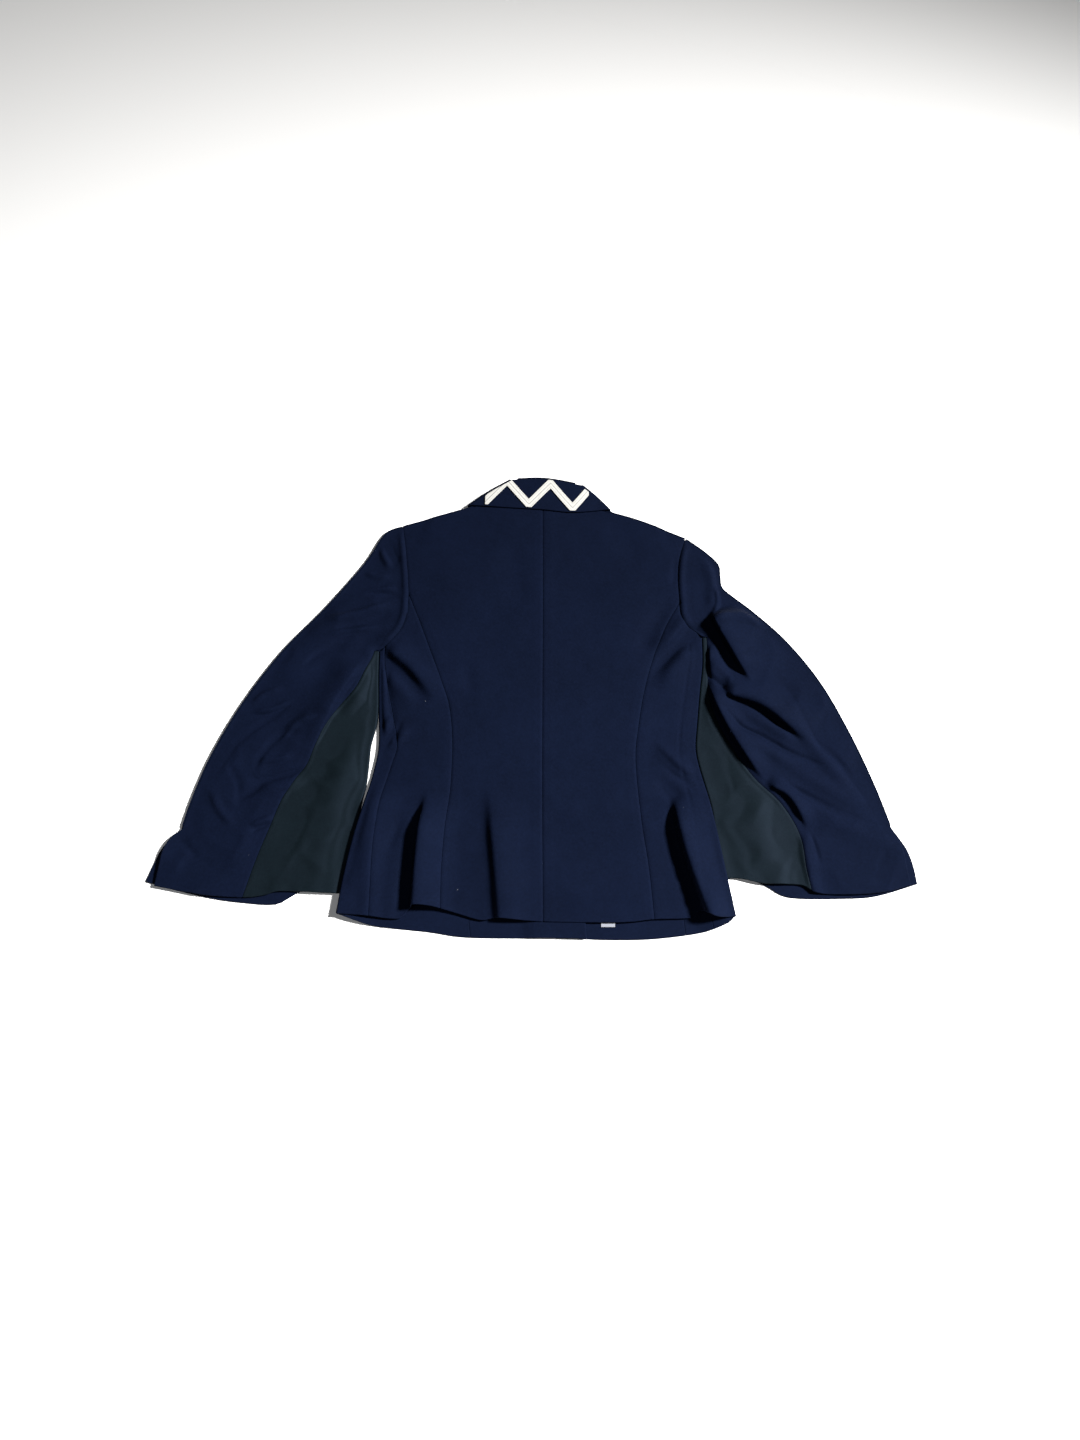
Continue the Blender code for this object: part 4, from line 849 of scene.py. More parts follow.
def look_at(made: bpy.types.Object, place: Vector, aim: Vector) -> None:
    """Puts a light or a camera at a place and turns it towards another."""
    made.location = place
    made.rotation_euler = (aim - place).to_track_quat("-Z", "Y").to_euler()


def make_mesh(name: str, vertices: Points, *faces: Points) -> bpy.types.Object:
    """A smooth-shaded mesh object of one or more sets of faces, at the origin, linked to the scene."""
    mesh = bpy.data.meshes.new(name)
    mesh.from_pydata(vertices.tolist(), [], [corners for part in faces for corners in part.tolist()])
    mesh.shade_smooth()
    return add_object(name, mesh)


def lay_uv(piece: bpy.types.Object, uv: Points) -> None:
    """Writes one UV point for each vertex, in metres, so that a weave keeps its real size."""
    mesh = piece.data
    corners = np.empty(len(mesh.loops), int)
    mesh.loops.foreach_get("vertex_index", corners)
    layer = mesh.uv_layers.new(name=CLOTH_MAP)
    layer.data.foreach_set("uv", uv[corners].astype(np.float32).ravel())


def turned(line: Points, normal: Points, radius: float, start_z: Points, end_z: Points,
           steps: int = 8) -> Points:
    """Half round outside a line, from one height to another.

    The angle runs over half a turn, the plan moves out by radius times its cosine and the height goes
    with its sine from the first height to the last.
    """
    angle = np.linspace(-np.pi / 2, np.pi / 2, steps + 1)[1:-1]
    plan = line[:, None] + radius * np.cos(angle)[None, :, None] * normal[:, None]
    z = (start_z + end_z)[:, None] / 2 + (end_z - start_z)[:, None] / 2 * np.sin(angle)
    return raised(plan, z)


class Slot(Enum):
    """The record's material slots."""
    NAVY = "navy_cloth"
    NAVY_DARK = "navy_cloth_dark"
    GREEN = "green_cloth"
    TAPE = "white_tape"
    LABEL = "white_label"
    BUTTON = "navy_button"


@dataclass
class SubAssembly:
    """What every sub-assembly shares: the pattern, the lie of the cloth, its finishes and cell sizes."""
    pattern: Pattern
    lie: Lie
    finishes: dict
    cell: float = 0.0022
    hidden_cell: float = 0.0050

    def sheet(self, name: str, grid: Points, slot: Slot, grain: float = 0.0, wall: Wall = CLOTH,
              on: Sequence[str] = ("floor",), uv: Optional[Points] = None) -> bpy.types.Object:
        """Makes a cut piece from its grid, in place of the CAD node of the same name.

        Args:
            name: the node's and the piece's name.
            grid: rows by columns of points of its middle surface.
            slot: its finish.
            grain: how far its warp is turned from Y, in degrees.
            wall: its thickness and edges.
            on: what it rests on; not used.
            uv: the cloth's own map in metres, where it isn't the plan turned by the grain.

        Returns:
            The finished object.
        """
        grid = firmed(grid)
        vertices, faces, source = wall.close(grid)
        piece = make_mesh(f"{name}_cloth", vertices, faces)
        if uv is None:
            turn = math.radians(grain)
            cos, sin = math.cos(turn), math.sin(turn)
            uv = grid[..., :2] @ np.array([[cos, -sin], [sin, cos]])
        else:
            uv = firmed(uv)
        lay_uv(piece, uv.reshape(-1, 2)[source])
        self.finish(piece, slot, name)
        return piece

    def finish(self, piece: bpy.types.Object, slot: Slot, node: str) -> None:
        """Dresses a piece, lets it ride on the body and hides the CAD node that it stands for."""
        piece.data.materials.append(self.finishes[slot])
        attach(piece, BODY)
        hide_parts(node)

    def line(self, side: str, name: str) -> Points:
        """A line of the pattern."""
        return self.pattern.lines[side][name]

    def steps(self, side: str, name: str, count: int = 0, cell: float = 0.0) -> Points:
        """A line of the pattern in even spans, by their count or else by the length of a cell."""
        line = self.line(side, name)
        return even(line, count or spans(line, cell or self.cell))

    def set_in(self, side: str, line: Points, flip: int = 1) -> tuple:
        """An outline set in by the half round's radius, and its outward normals."""
        normal = outward(line, TURN[side] * flip)
        return line - self.lie.turn_radius * normal, normal

    def wrap(self, first: Points, second: Points, edge: Points, normal: Points) -> Points:
        """Two layers joined by a half round, from the first's last column to the second's first."""
        first[:, -1, :2] = second[:, 0, :2] = edge
        turn = turned(edge, normal, self.lie.turn_radius, first[:, -1, 2], second[:, 0, 2])
        return np.concatenate([first, turn, second], axis=1)

    def low_underarm(self, side: str, corner: Points, cell: float) -> Points:
        """The front armhole's lower stretch, from the underarm corner to the armhole's low seam."""
        low = self.steps(side, "front_armhole_low", cell=cell)
        return chain(straight(corner, self.line(side, "front_armhole_low")[0], 3), low)


@dataclass
class Backs(SubAssembly):
    """The two halves of the back and the two side backs."""
    armhole_spans: int = 34

    def build(self) -> None:
        """Makes the four pieces."""
        for side in SIDES:
            self.half(side)
        self.side_left()
        self.side_right()

    def half(self, side: str) -> None:
        """Half of the back: hem, curved seam and armhole, shoulder and neck, centre seam."""
        edge = cut(self.cell, self.line(side, "princess"), self.line(side, "armhole_top"))
        shoulder, _ = self.set_in(side, self.steps(side, "shoulder"))
        top = chain(shoulder, self.steps(side, "neck"))
        centre = even(self.pattern.centre, len(edge) - 1)
        bottom = across(self.pattern.hem_back, edge[0, 0], centre[0, 0], len(top) - 1)
        self.sheet(f"back_{side}", self.lie.body(patch(bottom, top, edge, centre)), Slot.NAVY,
                   on=[f"front_{side}"])

    def side_left(self) -> None:
        """The left side back, up to the side seam."""
        seam = self.steps("left", "side_seam")
        princess = self.steps("left", "princess", len(seam) - 1)
        armhole = self.steps("left", "armhole_low", self.armhole_spans)
        bottom = across(self.pattern.hem_back, seam[0, 0], princess[0, 0], len(armhole) - 1)
        self.sheet("side_back_left", self.lie.body(patch(bottom, armhole, seam, princess)), Slot.NAVY,
                   grain=4, on=["side_front_left"])

    def side_right(self) -> None:
        """The right side back, which turns round the side to a seam underneath."""
        side, normal = self.set_in("right", self.steps("right", "side"))
        rows = len(side) - 1
        princess, seam = self.steps("right", "princess", rows), self.steps("right", "side_seam", rows)
        armhole = np.vstack([self.steps("right", "armhole_low", self.armhole_spans - 1)[::-1], side[-1:]])
        bottom = across(self.pattern.hem_back, princess[0, 0], side[0, 0], len(armhole) - 1)
        upper = self.lie.body(patch(bottom, armhole, princess, side))
        top = straight(side[-1], self.line("right", "front_armhole_low")[0], 6)
        bottom = across(self.pattern.hem_front, side[0, 0], seam[0, 0], len(top) - 1)
        under = self.lie.on_floor(patch(bottom, top, side, seam))
        self.sheet("side_back_right", self.wrap(upper, under, side, normal), Slot.NAVY,
                   grain=-5, on=["side_front_right", "floor"])


@dataclass
class Fronts(SubAssembly):
    """The side fronts, the fronts and the lapels turned under them."""

    def build(self) -> None:
        """Makes the six pieces."""
        self.side_left()
        self.side_right()
        for side in SIDES:
            self.front(side)
            self.lapel(side)

    def side_left(self) -> None:
        """The left side front, which turns up round the side to the seam beside the back."""
        side, normal = self.set_in("left", self.steps("left", "side"))
        rows = len(side) - 1
        front, seam = self.steps("left", "front_princess", rows), self.steps("left", "side_seam", rows)
        armhole = self.low_underarm("left", side[-1], self.hidden_cell)[::-1]
        bottom = across(self.pattern.hem_front, front[0, 0], side[0, 0], len(armhole) - 1)
        under = self.lie.on_floor(patch(bottom, armhole, front, side))
        top = straight(side[-1], seam[-1], 14)
        bottom = across(self.pattern.hem_back, side[0, 0], seam[0, 0], len(top) - 1)
        upper = self.lie.body(patch(bottom, top, side, seam))
        self.sheet("side_front_left", self.wrap(under, upper, side, normal), Slot.NAVY, grain=4,
                   wall=LOW_CLOTH)

    def side_right(self) -> None:
        """The right side front, all of it underneath."""
        armhole = self.steps("right", "front_armhole_low", cell=self.hidden_cell)[::-1]
        seam = self.steps("right", "side_seam", cell=self.hidden_cell)
        front = self.steps("right", "front_princess", len(seam) - 1)
        bottom = across(self.pattern.hem_front, front[0, 0], seam[0, 0], len(armhole) - 1)
        self.sheet("side_front_right", self.lie.on_floor(patch(bottom, armhole, front, seam)), Slot.NAVY,
                   wall=LOW_CLOTH)

    def roll(self, side: str) -> tuple:
        """The roll line set in by its half round, with the normals towards the opening."""
        line = self.steps(side, "roll", cell=self.hidden_cell)
        normal = outward(line, -TURN[side])
        return line - self.lie.turn_radius * normal, normal

    def front(self, side: str) -> None:
        """A front: hem, front edge, roll line, gorge and shoulder, where it turns up to the back."""
        shoulder, normal = self.set_in(side, self.steps(side, "shoulder", cell=self.hidden_cell))
        roll, _ = self.roll(side)
        front_edge = self.line(side, "front_edge").copy()
        front_edge[-1] = roll[0]
        inner = chain(even(front_edge, spans(front_edge, self.hidden_cell)), roll,
                      straight(roll[-1], shoulder[-1], 8))
        princess, top = self.line(side, "front_princess"), self.line(side, "front_armhole_top")
        share = lengths(princess)[-1] / (lengths(princess)[-1] + lengths(top)[-1])
        rows = len(inner) - 1
        low = int(round(rows * share))
        edge = chain(even(princess, low), even(top, rows - low))
        bottom = across(self.pattern.hem_front, edge[0, 0], inner[0, 0], len(shoulder) - 1)
        under = self.lie.front(patch(bottom, shoulder, edge, inner), side)
        turn = turned(shoulder, normal, self.lie.turn_radius, under[-1, :, 2], self.lie.body(shoulder)[:, 2])
        grid = np.concatenate([under, np.swapaxes(turn, 0, 1)], axis=0)
        self.sheet(f"front_{side}", grid, Slot.NAVY, wall=LOW_CLOTH)

    def lapel(self, side: str) -> None:
        """A lapel, turned under the front along the roll line."""
        lines = self.pattern.lines[side]
        roll, normal = self.roll(side)
        edge = even(lines["lapel_edge"], len(roll) - 1)
        top = chain(straight(edge[-1], lines["gorge"][-1], 8),
                    straight(lines["gorge"][-1], roll[-1], 8))
        bottom = straight(edge[0], roll[0], len(top) - 1)
        under = self.lie.flat(patch(bottom, top, edge, roll))
        front = self.lie.front(roll, side)[:, 2]
        turn = turned(roll, normal, self.lie.turn_radius, under[:, -1, 2], front)
        self.sheet(f"lapel_{side}", np.concatenate([under, turn], axis=1), Slot.NAVY)


@dataclass
class Collar(SubAssembly):
    """The leaf, turned down over the back, the stand inside it and the zigzag tape on it."""
    turn: float = 0.0030
    fold: float = 0.0018
    rows: int = 26
    columns: int = 100
    end_columns: int = 16
    notch_rows: int = 15
    stand_rows: int = 10
    stand_short: int = 10         # columns of the neck left free at each end of the stand
    seam_gap: float = 0.0008
    tape_wall: float = 0.0012
    tape_rim: float = 0.0004
    tape_width: float = 0.011
    tape_margin: float = 0.0016
    stroke: float = 0.031         # how far a stroke goes sideways,
    rise: float = 0.036           # and up
    stroke_steps: int = 24
    tape_spans: int = 16
    tape_ends: tuple = (-78, 69.4)    # x in millimetres where the tape starts and stops
    tape_lift: float = 0.0004

    def build(self) -> None:
        """Makes the three pieces."""
        self.leaf()
        self.stand()
        self.tape()

    def side_line(self, side: str) -> tuple:
        """A neck side of the collar, set in by its half round, with its normals."""
        line = self.steps(side, "collar_side", self.rows)
        normal = outward(line, TURN[side])
        return line - self.turn * normal, normal

    def plan(self) -> Points:
        """Plan of the leaf's upper part, from its edge to the fold along its top."""
        left, right = self.side_line("left")[0], self.side_line("right")[0]
        bottom = even(self.pattern.leaf_edge, self.columns)
        top = even(self.pattern.leaf_fold, self.columns)
        bottom[0], bottom[-1] = left[0], right[0]
        top = top - self.fold * outward(top, 1)
        top[0], top[-1] = left[-1], right[-1]
        return patch(bottom, top, left, right)

    def leaf(self) -> None:
        """The leaf: its hidden ends lie on the floor beside the lapels, its middle on the back."""
        parts = [self.lie.leaf(self.plan())]
        for side in SIDES:
            line, normal = self.side_line(side)
            edge = self.steps(side, "collar_edge", self.end_columns)
            roll = self.steps(side, "collar_roll", self.end_columns)
            point, notch = self.line(side, "collar_end")[:2]
            fold = self.line(side, "roll")
            end_of_roll = fold[-1] + self.lie.turn_radius * outward(fold, TURN[side])[-1]
            end = chain(straight(point, notch, self.rows - self.notch_rows),
                        straight(notch, end_of_roll, self.notch_rows))
            edge[0], roll[0] = line[0], line[-1]
            under = self.lie.flat(patch(edge, roll, line, end))
            upper = parts[0][:, 0, 2] if side == "left" else parts[-1][:, -1, 2]
            turn = turned(line, normal, self.turn, upper, under[:, 0, 2])
            if side == "left":
                parts = [under[:, ::-1], turn[:, ::-1]] + parts
            else:
                parts = parts + [turn, under]
        self.sheet("collar_leaf", np.concatenate(parts, axis=1), Slot.NAVY, grain=90,
                   on=["back_left", "back_right", "floor"])

    def stand(self) -> None:
        """The stand, from the neck seam up to the fold and round it."""
        plan = self.plan()
        ends = slice(self.stand_short, -self.stand_short)
        fold = plan[-1][ends]
        neck = chain(self.line("left", "neck"), self.line("right", "neck")[::-1])
        neck = even(neck, self.columns)[ends]
        normal = outward(fold, 1)
        share = np.linspace(0, 1, self.stand_rows + 1)[:, None]
        rows = share[..., None] * (fold - neck) + neck
        fold_top = self.lie.leaf(fold)[:, 2]
        z = (1 - share) * self.lie.body(neck)[:, 2] + share * (fold_top - 2 * self.fold)
        stand = raised(rows, z)
        turn = turned(fold, normal, self.fold, z[-1], fold_top)
        stand = np.concatenate([stand, np.swapaxes(turn, 0, 1)], axis=0)
        stand[0, :, 1] += self.seam_gap
        self.sheet("collar_stand", stand, Slot.NAVY_DARK, grain=90, on=["floor"])

    def tape(self) -> None:
        """A zigzag of tape on the leaf: straight strokes of one width, cut off along the leaf's edges.

        The strip's middle goes up and down over the leaf's edge by a rise times a triangle wave, and
        every column of points runs up from it by half the width divided by the cosine of its slope.
        """
        plan = self.plan()
        edge, top = plan[0], np.concatenate([plan[:, 0], plan[-1, 1:-1], plan[::-1, -1]])
        start, end = in_metres([(self.tape_ends[0], 0), (self.tape_ends[1], 0)])[:, 0]
        steps = round((end - start) / self.stroke * self.stroke_steps)
        phase = np.arange(steps + 1) / self.stroke_steps
        way = start + phase * self.stroke
        lowest = np.interp(way, edge[:, 0], edge[:, 1]) + self.tape_margin
        highest = np.interp(way, top[:, 0], top[:, 1]) - self.tape_margin
        slant = math.hypot(1, self.rise / self.stroke)
        half = self.tape_width / 2 * slant
        centre = lowest + half / 2 + self.rise * np.abs((phase + 1) % 2 - 1)
        low, high = np.clip([centre - half, centre + half], lowest, highest)
        place = low + (high - low) * np.linspace(0, 1, self.tape_spans + 1)[:, None]
        grid = self.lie.leaf(np.stack([np.broadcast_to(way, place.shape), place], axis=-1))
        grid[..., 2] += self.lie.wall / 2 + self.tape_wall / 2 + self.tape_lift
        woven = np.stack([np.broadcast_to(way * slant, place.shape), (place - centre) / slant], axis=-1)
        self.sheet("collar_tape", grid, Slot.TAPE, wall=Wall(self.tape_wall, self.tape_rim),
                   on=["collar_leaf"], uv=woven)


@dataclass
class Sleeves(SubAssembly):
    """Top sleeves, green gussets let into their inner backs and under sleeves that carry the turns."""
    vent_cell: float = 0.0030
    top_columns: int = 96
    gusset_columns: int = 46
    under_columns: int = 36
    head_knot: int = 5            # the point of the outer line that lies across from the underarm
    corner_spans: int = 4         # across the short seam at the underarm
    corner_gap: float = 0.0005    # how far the last row is drawn back from the shoulder's corner
    gusset_grain: float = 8.0     # turn of the gussets' warp, in degrees

    def build(self) -> None:
        """Makes the six pieces."""
        for side in SIDES:
            self.top(side)
            self.gusset(side)
            self.under(side)

    def outer(self, side: str) -> tuple:
        """The outer line, set in by its half round, its normals, and the rows of vent and seam."""
        line, knot = self.line(side, "sleeve_outer"), self.head_knot * CURVE_STEPS
        rows = spans(self.line(side, "gusset_seam"), self.cell)
        vent = spans(self.line(side, "vent_top"), self.vent_cell)
        above = spans(chain(self.line(side, "armhole_low"), self.line(side, "armhole_top")), self.cell)
        line = chain(even(line[:knot + 1], rows - vent), even(line[knot:], above + self.corner_spans))
        normal = outward(line, TURN[side])
        return line - self.lie.turn_radius * normal, normal, vent, rows

    def drawn_back(self, line: Points, corner: Points) -> Points:
        """The line's last point moved a little back from the corner, to leave its row a length."""
        line = line.copy()
        line[-1] = corner + self.corner_gap * unit(line[-4] - corner)
        return line

    def top(self, side: str) -> None:
        """The top sleeve: cuff, outer line, armhole and the seam beside the gusset."""
        outer, _, vent, rows = self.outer(side)
        edge = chain(self.steps(side, "vent_top", vent), outer)
        seam = self.steps(side, "gusset_seam", rows)
        corner = self.steps(side, "sleeve_underarm", self.corner_spans)
        arm = chain(self.line(side, "armhole_low"), self.line(side, "armhole_top"))
        arm = even(arm, len(edge) - 1 - rows - self.corner_spans)
        armhole = self.drawn_back(chain(seam, corner, arm), outer[-1])
        bottom = across(self.pattern.cuff_top[side], edge[0, 0], seam[0, 0], self.top_columns)
        last = straight(edge[-1], armhole[-1], self.top_columns)
        self.sheet(f"sleeve_top_{side}", self.lie.sleeve(patch(bottom, last, edge, armhole)), Slot.NAVY,
                   grain=SLEEVE_GRAIN[side], on=[f"sleeve_under_{side}"])

    def gusset(self, side: str) -> None:
        """The gusset, which turns under at its inner edge."""
        seam = self.steps(side, "gusset_seam")
        inner, normal = self.set_in(side, self.steps(side, "sleeve_inner", len(seam) - 1), -1)
        bottom = across(self.pattern.cuff_top[side], seam[0, 0], inner[0, 0], self.gusset_columns)
        apex = straight(seam[-1], inner[-1], self.gusset_columns)
        upper = self.lie.sleeve(patch(bottom, apex, seam, inner))
        way = beside(upper[..., :2], self.line(side, "gusset_seam")).distance
        above_least = (upper[..., 2] - self.lie.gusset_least) / self.lie.gusset_ease
        upper[..., 2] -= self.lie.gusset_drop * ease(way / self.lie.gusset_reach) * ease(above_least)
        line = upper[:, -1, :2]
        flat = self.lie.flat(line)[:, 2]
        turn = turned(line, normal, self.lie.turn_radius, upper[:, -1, 2], flat)
        rim = self.lie.flat(line[:, None])
        self.sheet(f"sleeve_gusset_{side}", np.concatenate([upper, turn, rim], axis=1), Slot.GREEN,
                   grain=TURN[side] * self.gusset_grain, on=[f"sleeve_under_{side}"])

    def under(self, side: str) -> None:
        """The under sleeve, which turns up at the outer line; at the vent it lies open and flat."""
        outer, normal, vent_rows, rows = self.outer(side)
        inner, _ = self.set_in(side, self.steps(side, "sleeve_inner", rows), -1)
        vent = self.steps(side, "vent_under", vent_rows)
        vent_normal = outward(vent, TURN[side])
        edge = chain(vent - self.lie.turn_radius * vent_normal, outer)
        normals = np.vstack([vent_normal[:-1], normal])
        arm = chain(self.line(side, "front_armhole_low"), self.line(side, "front_armhole_top"))
        corner = straight(inner[-1], arm[0], self.corner_spans)
        arm = even(arm, len(edge) - 1 - rows - self.corner_spans)
        armhole = self.drawn_back(chain(inner, corner, arm), outer[-1])
        bottom = across(self.pattern.cuff_under[side], edge[0, 0], inner[0, 0], self.under_columns)
        last = straight(edge[-1], armhole[-1], self.under_columns)
        under = self.lie.flat(patch(bottom, last, edge, armhole))
        line = under[:, 0, :2]
        upper = self.lie.sleeve(line)
        turn = turned(line, normals, self.lie.turn_radius, upper[:, 2], under[:, 0, 2])
        turn = np.concatenate([upper[:, None], turn], axis=1)
        steps = turn.shape[1]
        spread = np.linspace(1, 0, steps + 1)[:-1][None, :, None] * self.lie.turn_radius
        level = self.lie.flat(line[:, None] + spread * normals[:, None])
        closed = ease((np.arange(len(line)) - vent_rows + 1) / 4)[:, None, None]
        turn = closed * turn + (1 - closed) * level
        self.sheet(f"sleeve_under_{side}", np.concatenate([turn, under], axis=1), Slot.NAVY,
                   grain=SLEEVE_GRAIN[side])


@dataclass
class Trims(SubAssembly):
    """The two buttons under the front and the small blank label at the hem."""
    radius: float = 0.010
    height: float = 0.0024
    dish: float = 0.0007
    face: float = 0.92            # radius of the lower face, as a share of the rim's
    # Section of each face: shares of its radius, and of the dish's depth or the button's height.
    lower_face: tuple = ((0.0, 1.0), (0.58, 1.0), (0.66, 0.6), (0.72, 0.15), (0.80, 0.0), (0.88, 0.0),
                         (0.95, 0.2143), (1.0, 0.8571))
    upper_face: tuple = ((1.0, 0.5), (0.99, 0.82), (0.95, 1.0), (0.5, 1.0), (0.0, 1.0))
    section_spans: int = 44
    sides: int = 64
    label_wall: float = 0.0008
    label_rim: float = 0.0002
    label_spans: tuple = (22, 16)

    def build(self) -> None:
        """Makes the three pieces."""
        for name, place in BUTTONS.items():
            self.button(name, place)
        self.label()

    def button(self, name: str, place: tuple) -> None:
        """A button without holes, its face down: a rim, a dished middle and a flat back.

        Its section is turned round a full circle, and a fan of triangles closes it at each pole.
        """
        section = np.vstack([np.array(self.lower_face) * (self.radius * self.face, self.dish),
                             np.array(self.upper_face) * (self.radius, self.height)])
        section = even(section, self.section_spans)
        angle = np.linspace(0, 2 * math.pi, self.sides, endpoint=False)
        circle = np.stack([np.cos(angle), np.sin(angle), np.zeros(self.sides)], axis=1)
        middle = np.append(in_metres(place), 0.0)
        rings = middle + section[1:-1, :1, None] * circle + section[1:-1, 1:, None] * (0.0, 0.0, 1.0)
        poles = middle + section[[0, -1], 1:] * (0.0, 0.0, 1.0)
        index = np.arange(rings.size // 3).reshape(rings.shape[:2])
        around = np.roll(index, -1, axis=1)
        quads = np.stack([index[:-1], around[:-1], around[1:], index[1:]], axis=-1).reshape(-1, 4)
        low_pole, high_pole = np.full(self.sides, index.size), np.full(self.sides, index.size + 1)
        fans = [np.stack([around[0], index[0], low_pole], axis=-1),
                np.stack([index[-1], around[-1], high_pole], axis=-1)]
        vertices = np.concatenate([rings.reshape(-1, 3), poles])
        self.finish(make_mesh(f"{name}_turned", vertices, quads, *fans), Slot.BUTTON, name)
        log.info("%s: %d faces", name, len(quads) + 2 * self.sides)

    def label(self) -> None:
        """The label on the inside of the right front."""
        left, right, low, high = LABEL
        corners = in_metres([(left, low), (right, low), (left, high), (right, high)])
        along, up = self.label_spans
        plan = patch(even(corners[:2], along), even(corners[2:], along), even(corners[::2], up),
                     even(corners[1::2], up))
        grid = self.lie.front(plan, "right")
        grid[..., 2] += self.lie.wall / 2 + self.label_wall / 2 + self.lie.clearance
        self.sheet("inner_label", grid, Slot.LABEL, wall=Wall(self.label_wall, self.label_rim),
                   on=["front_right"])


# ---------------------------------------------------------------- finishes

Value = Union["Term", float]


class Term:
    """A number in a shader. Python's operators on it add Math nodes."""

    def __init__(self, shader: "Shader", socket: bpy.types.NodeSocket) -> None:
        """Wraps an output socket."""
        self.shader, self.socket = shader, socket

    def math(self, operation: str, *values: Value) -> "Term":
        """A Math node of these values."""
        made = self.shader.node("ShaderNodeMath", {"operation": operation}, dict(enumerate(values)))
        return self.shader.term(made)

    def __add__(self, other: Value) -> "Term":
        """Sum."""
        return self.math("ADD", self, other)

    def __radd__(self, other: Value) -> "Term":
        """Sum, reflected."""
        return self.math("ADD", other, self)

    def __sub__(self, other: Value) -> "Term":
        """Difference."""
        return self.math("SUBTRACT", self, other)

    def __rsub__(self, other: Value) -> "Term":
        """Difference, reflected."""
        return self.math("SUBTRACT", other, self)

    def __mul__(self, other: Value) -> "Term":
        """Product."""
        return self.math("MULTIPLY", self, other)

    def __rmul__(self, other: Value) -> "Term":
        """Product, reflected."""
        return self.math("MULTIPLY", other, self)

    def sized(self) -> "Term":
        """Its size without its sign."""
        return self.math("ABSOLUTE", self)

    def sine(self) -> "Term":
        """Sine of an angle in radians."""
        return self.math("SINE", self)

    def above(self, edge: float, soft: float) -> "Term":
        """0 below an edge and 1 above it, with a soft step between."""
        settings = {"interpolation_type": "SMOOTHSTEP"}
        inputs = {"Value": self, "From Min": edge - soft, "From Max": edge + soft}
        return self.shader.term(self.shader.node("ShaderNodeMapRange", settings, inputs), "Result")


class Shader:
    """The node tree of one material, with a Principled surface."""

    def __init__(self, name: str) -> None:
        """Makes the material with an empty tree."""
        self.material = bpy.data.materials.new(name)
        self.material.use_nodes = True
        self.tree = self.material.node_tree
        self.tree.nodes.clear()

    def node(self, kind: str, settings: Optional[dict] = None,
             inputs: Optional[dict] = None) -> bpy.types.Node:
        """Adds a node.

        Args:
            kind: its type.
            settings: its properties, set first.
            inputs: values, Terms or sockets for its inputs, by name or number.

        Returns:
            The node.
        """
        made = self.tree.nodes.new(kind)
        for key, value in (settings or {}).items():
            setattr(made, key, value)
        for key, value in (inputs or {}).items():
            socket = value.socket if isinstance(value, Term) else value
            if isinstance(socket, bpy.types.NodeSocket):
                self.tree.links.new(socket, made.inputs[key])
            else:
                made.inputs[key].default_value = value
        return made

    def term(self, node: bpy.types.Node, output: Union[str, int] = 0) -> Term:
        """One output of a node as a number."""
        return Term(self, node.outputs[output])

    def cloth_map(self) -> tuple:
        """The piece's own cloth map, in metres, and its two parts: across the cloth and along it."""
        cloth = self.node("ShaderNodeUVMap", {"uv_map": CLOTH_MAP}).outputs[0]
        parts = self.node("ShaderNodeSeparateXYZ", {}, {0: cloth})
        return cloth, self.term(parts, 0), self.term(parts, 1)

    def wave(self, place: Term, pitch: float) -> Term:
        """A sine wave from -1 to 1 along a place, in metres, of a given pitch."""
        return (place * (2 * math.pi / pitch)).sine()

    def noise(self, vector: Any, scale: float, detail: float = 2.0, roughness: float = 0.5) -> Term:
        """Noise from 0 to 1."""
        inputs = {"Vector": vector, "Scale": scale, "Detail": detail, "Roughness": roughness}
        return self.term(self.node("ShaderNodeTexNoise", {}, inputs), "Fac")

    def mix(self, share: Value, low: Any, high: Any) -> bpy.types.NodeSocket:
        """Mix of two colours."""
        settings = {"data_type": "RGBA", "blend_type": "MIX", "clamp_factor": True}
        return self.node("ShaderNodeMix", settings, {0: share, 6: low, 7: high}).outputs[2]

    def scaled(self, colour: Any, factor: Value) -> bpy.types.NodeSocket:
        """A colour times a number."""
        plain = colour[:3] if isinstance(colour, tuple) else colour
        made = self.node("ShaderNodeVectorMath", {"operation": "SCALE"}, {0: plain, "Scale": factor})
        return made.outputs[0]

    def stretched(self, vector: Any, scale: tuple, turn: float = 0.0) -> bpy.types.NodeSocket:
        """Coordinates turned about Z and scaled."""
        inputs = {"Vector": vector, "Rotation": (0.0, 0.0, turn), "Scale": scale}
        return self.node("ShaderNodeMapping", {"vector_type": "POINT"}, inputs).outputs[0]

    def bump(self, height: Term, depth: float, normal: Any = None) -> bpy.types.NodeSocket:
        """A normal bumped by a height from 0 to 1 that stands for a depth in metres."""
        inputs = {"Height": height, "Distance": depth, "Strength": 1.0}
        if normal is not None:
            inputs["Normal"] = normal
        return self.node("ShaderNodeBump", {}, inputs).outputs[0]

    def surface(self, inputs: dict) -> bpy.types.Material:
        """Ends the tree in a Principled surface.

        Args:
            inputs: values and links of its sockets.

        Returns:
            The material.
        """
        surface = self.node("ShaderNodeBsdfPrincipled", {}, inputs)
        self.node("ShaderNodeOutputMaterial", {}, {"Surface": surface.outputs[0]})
        return self.material


def rgb(red: float, green: float, blue: float) -> tuple:
    """A colour in linear light."""
    return (red, green, blue, 1.0)


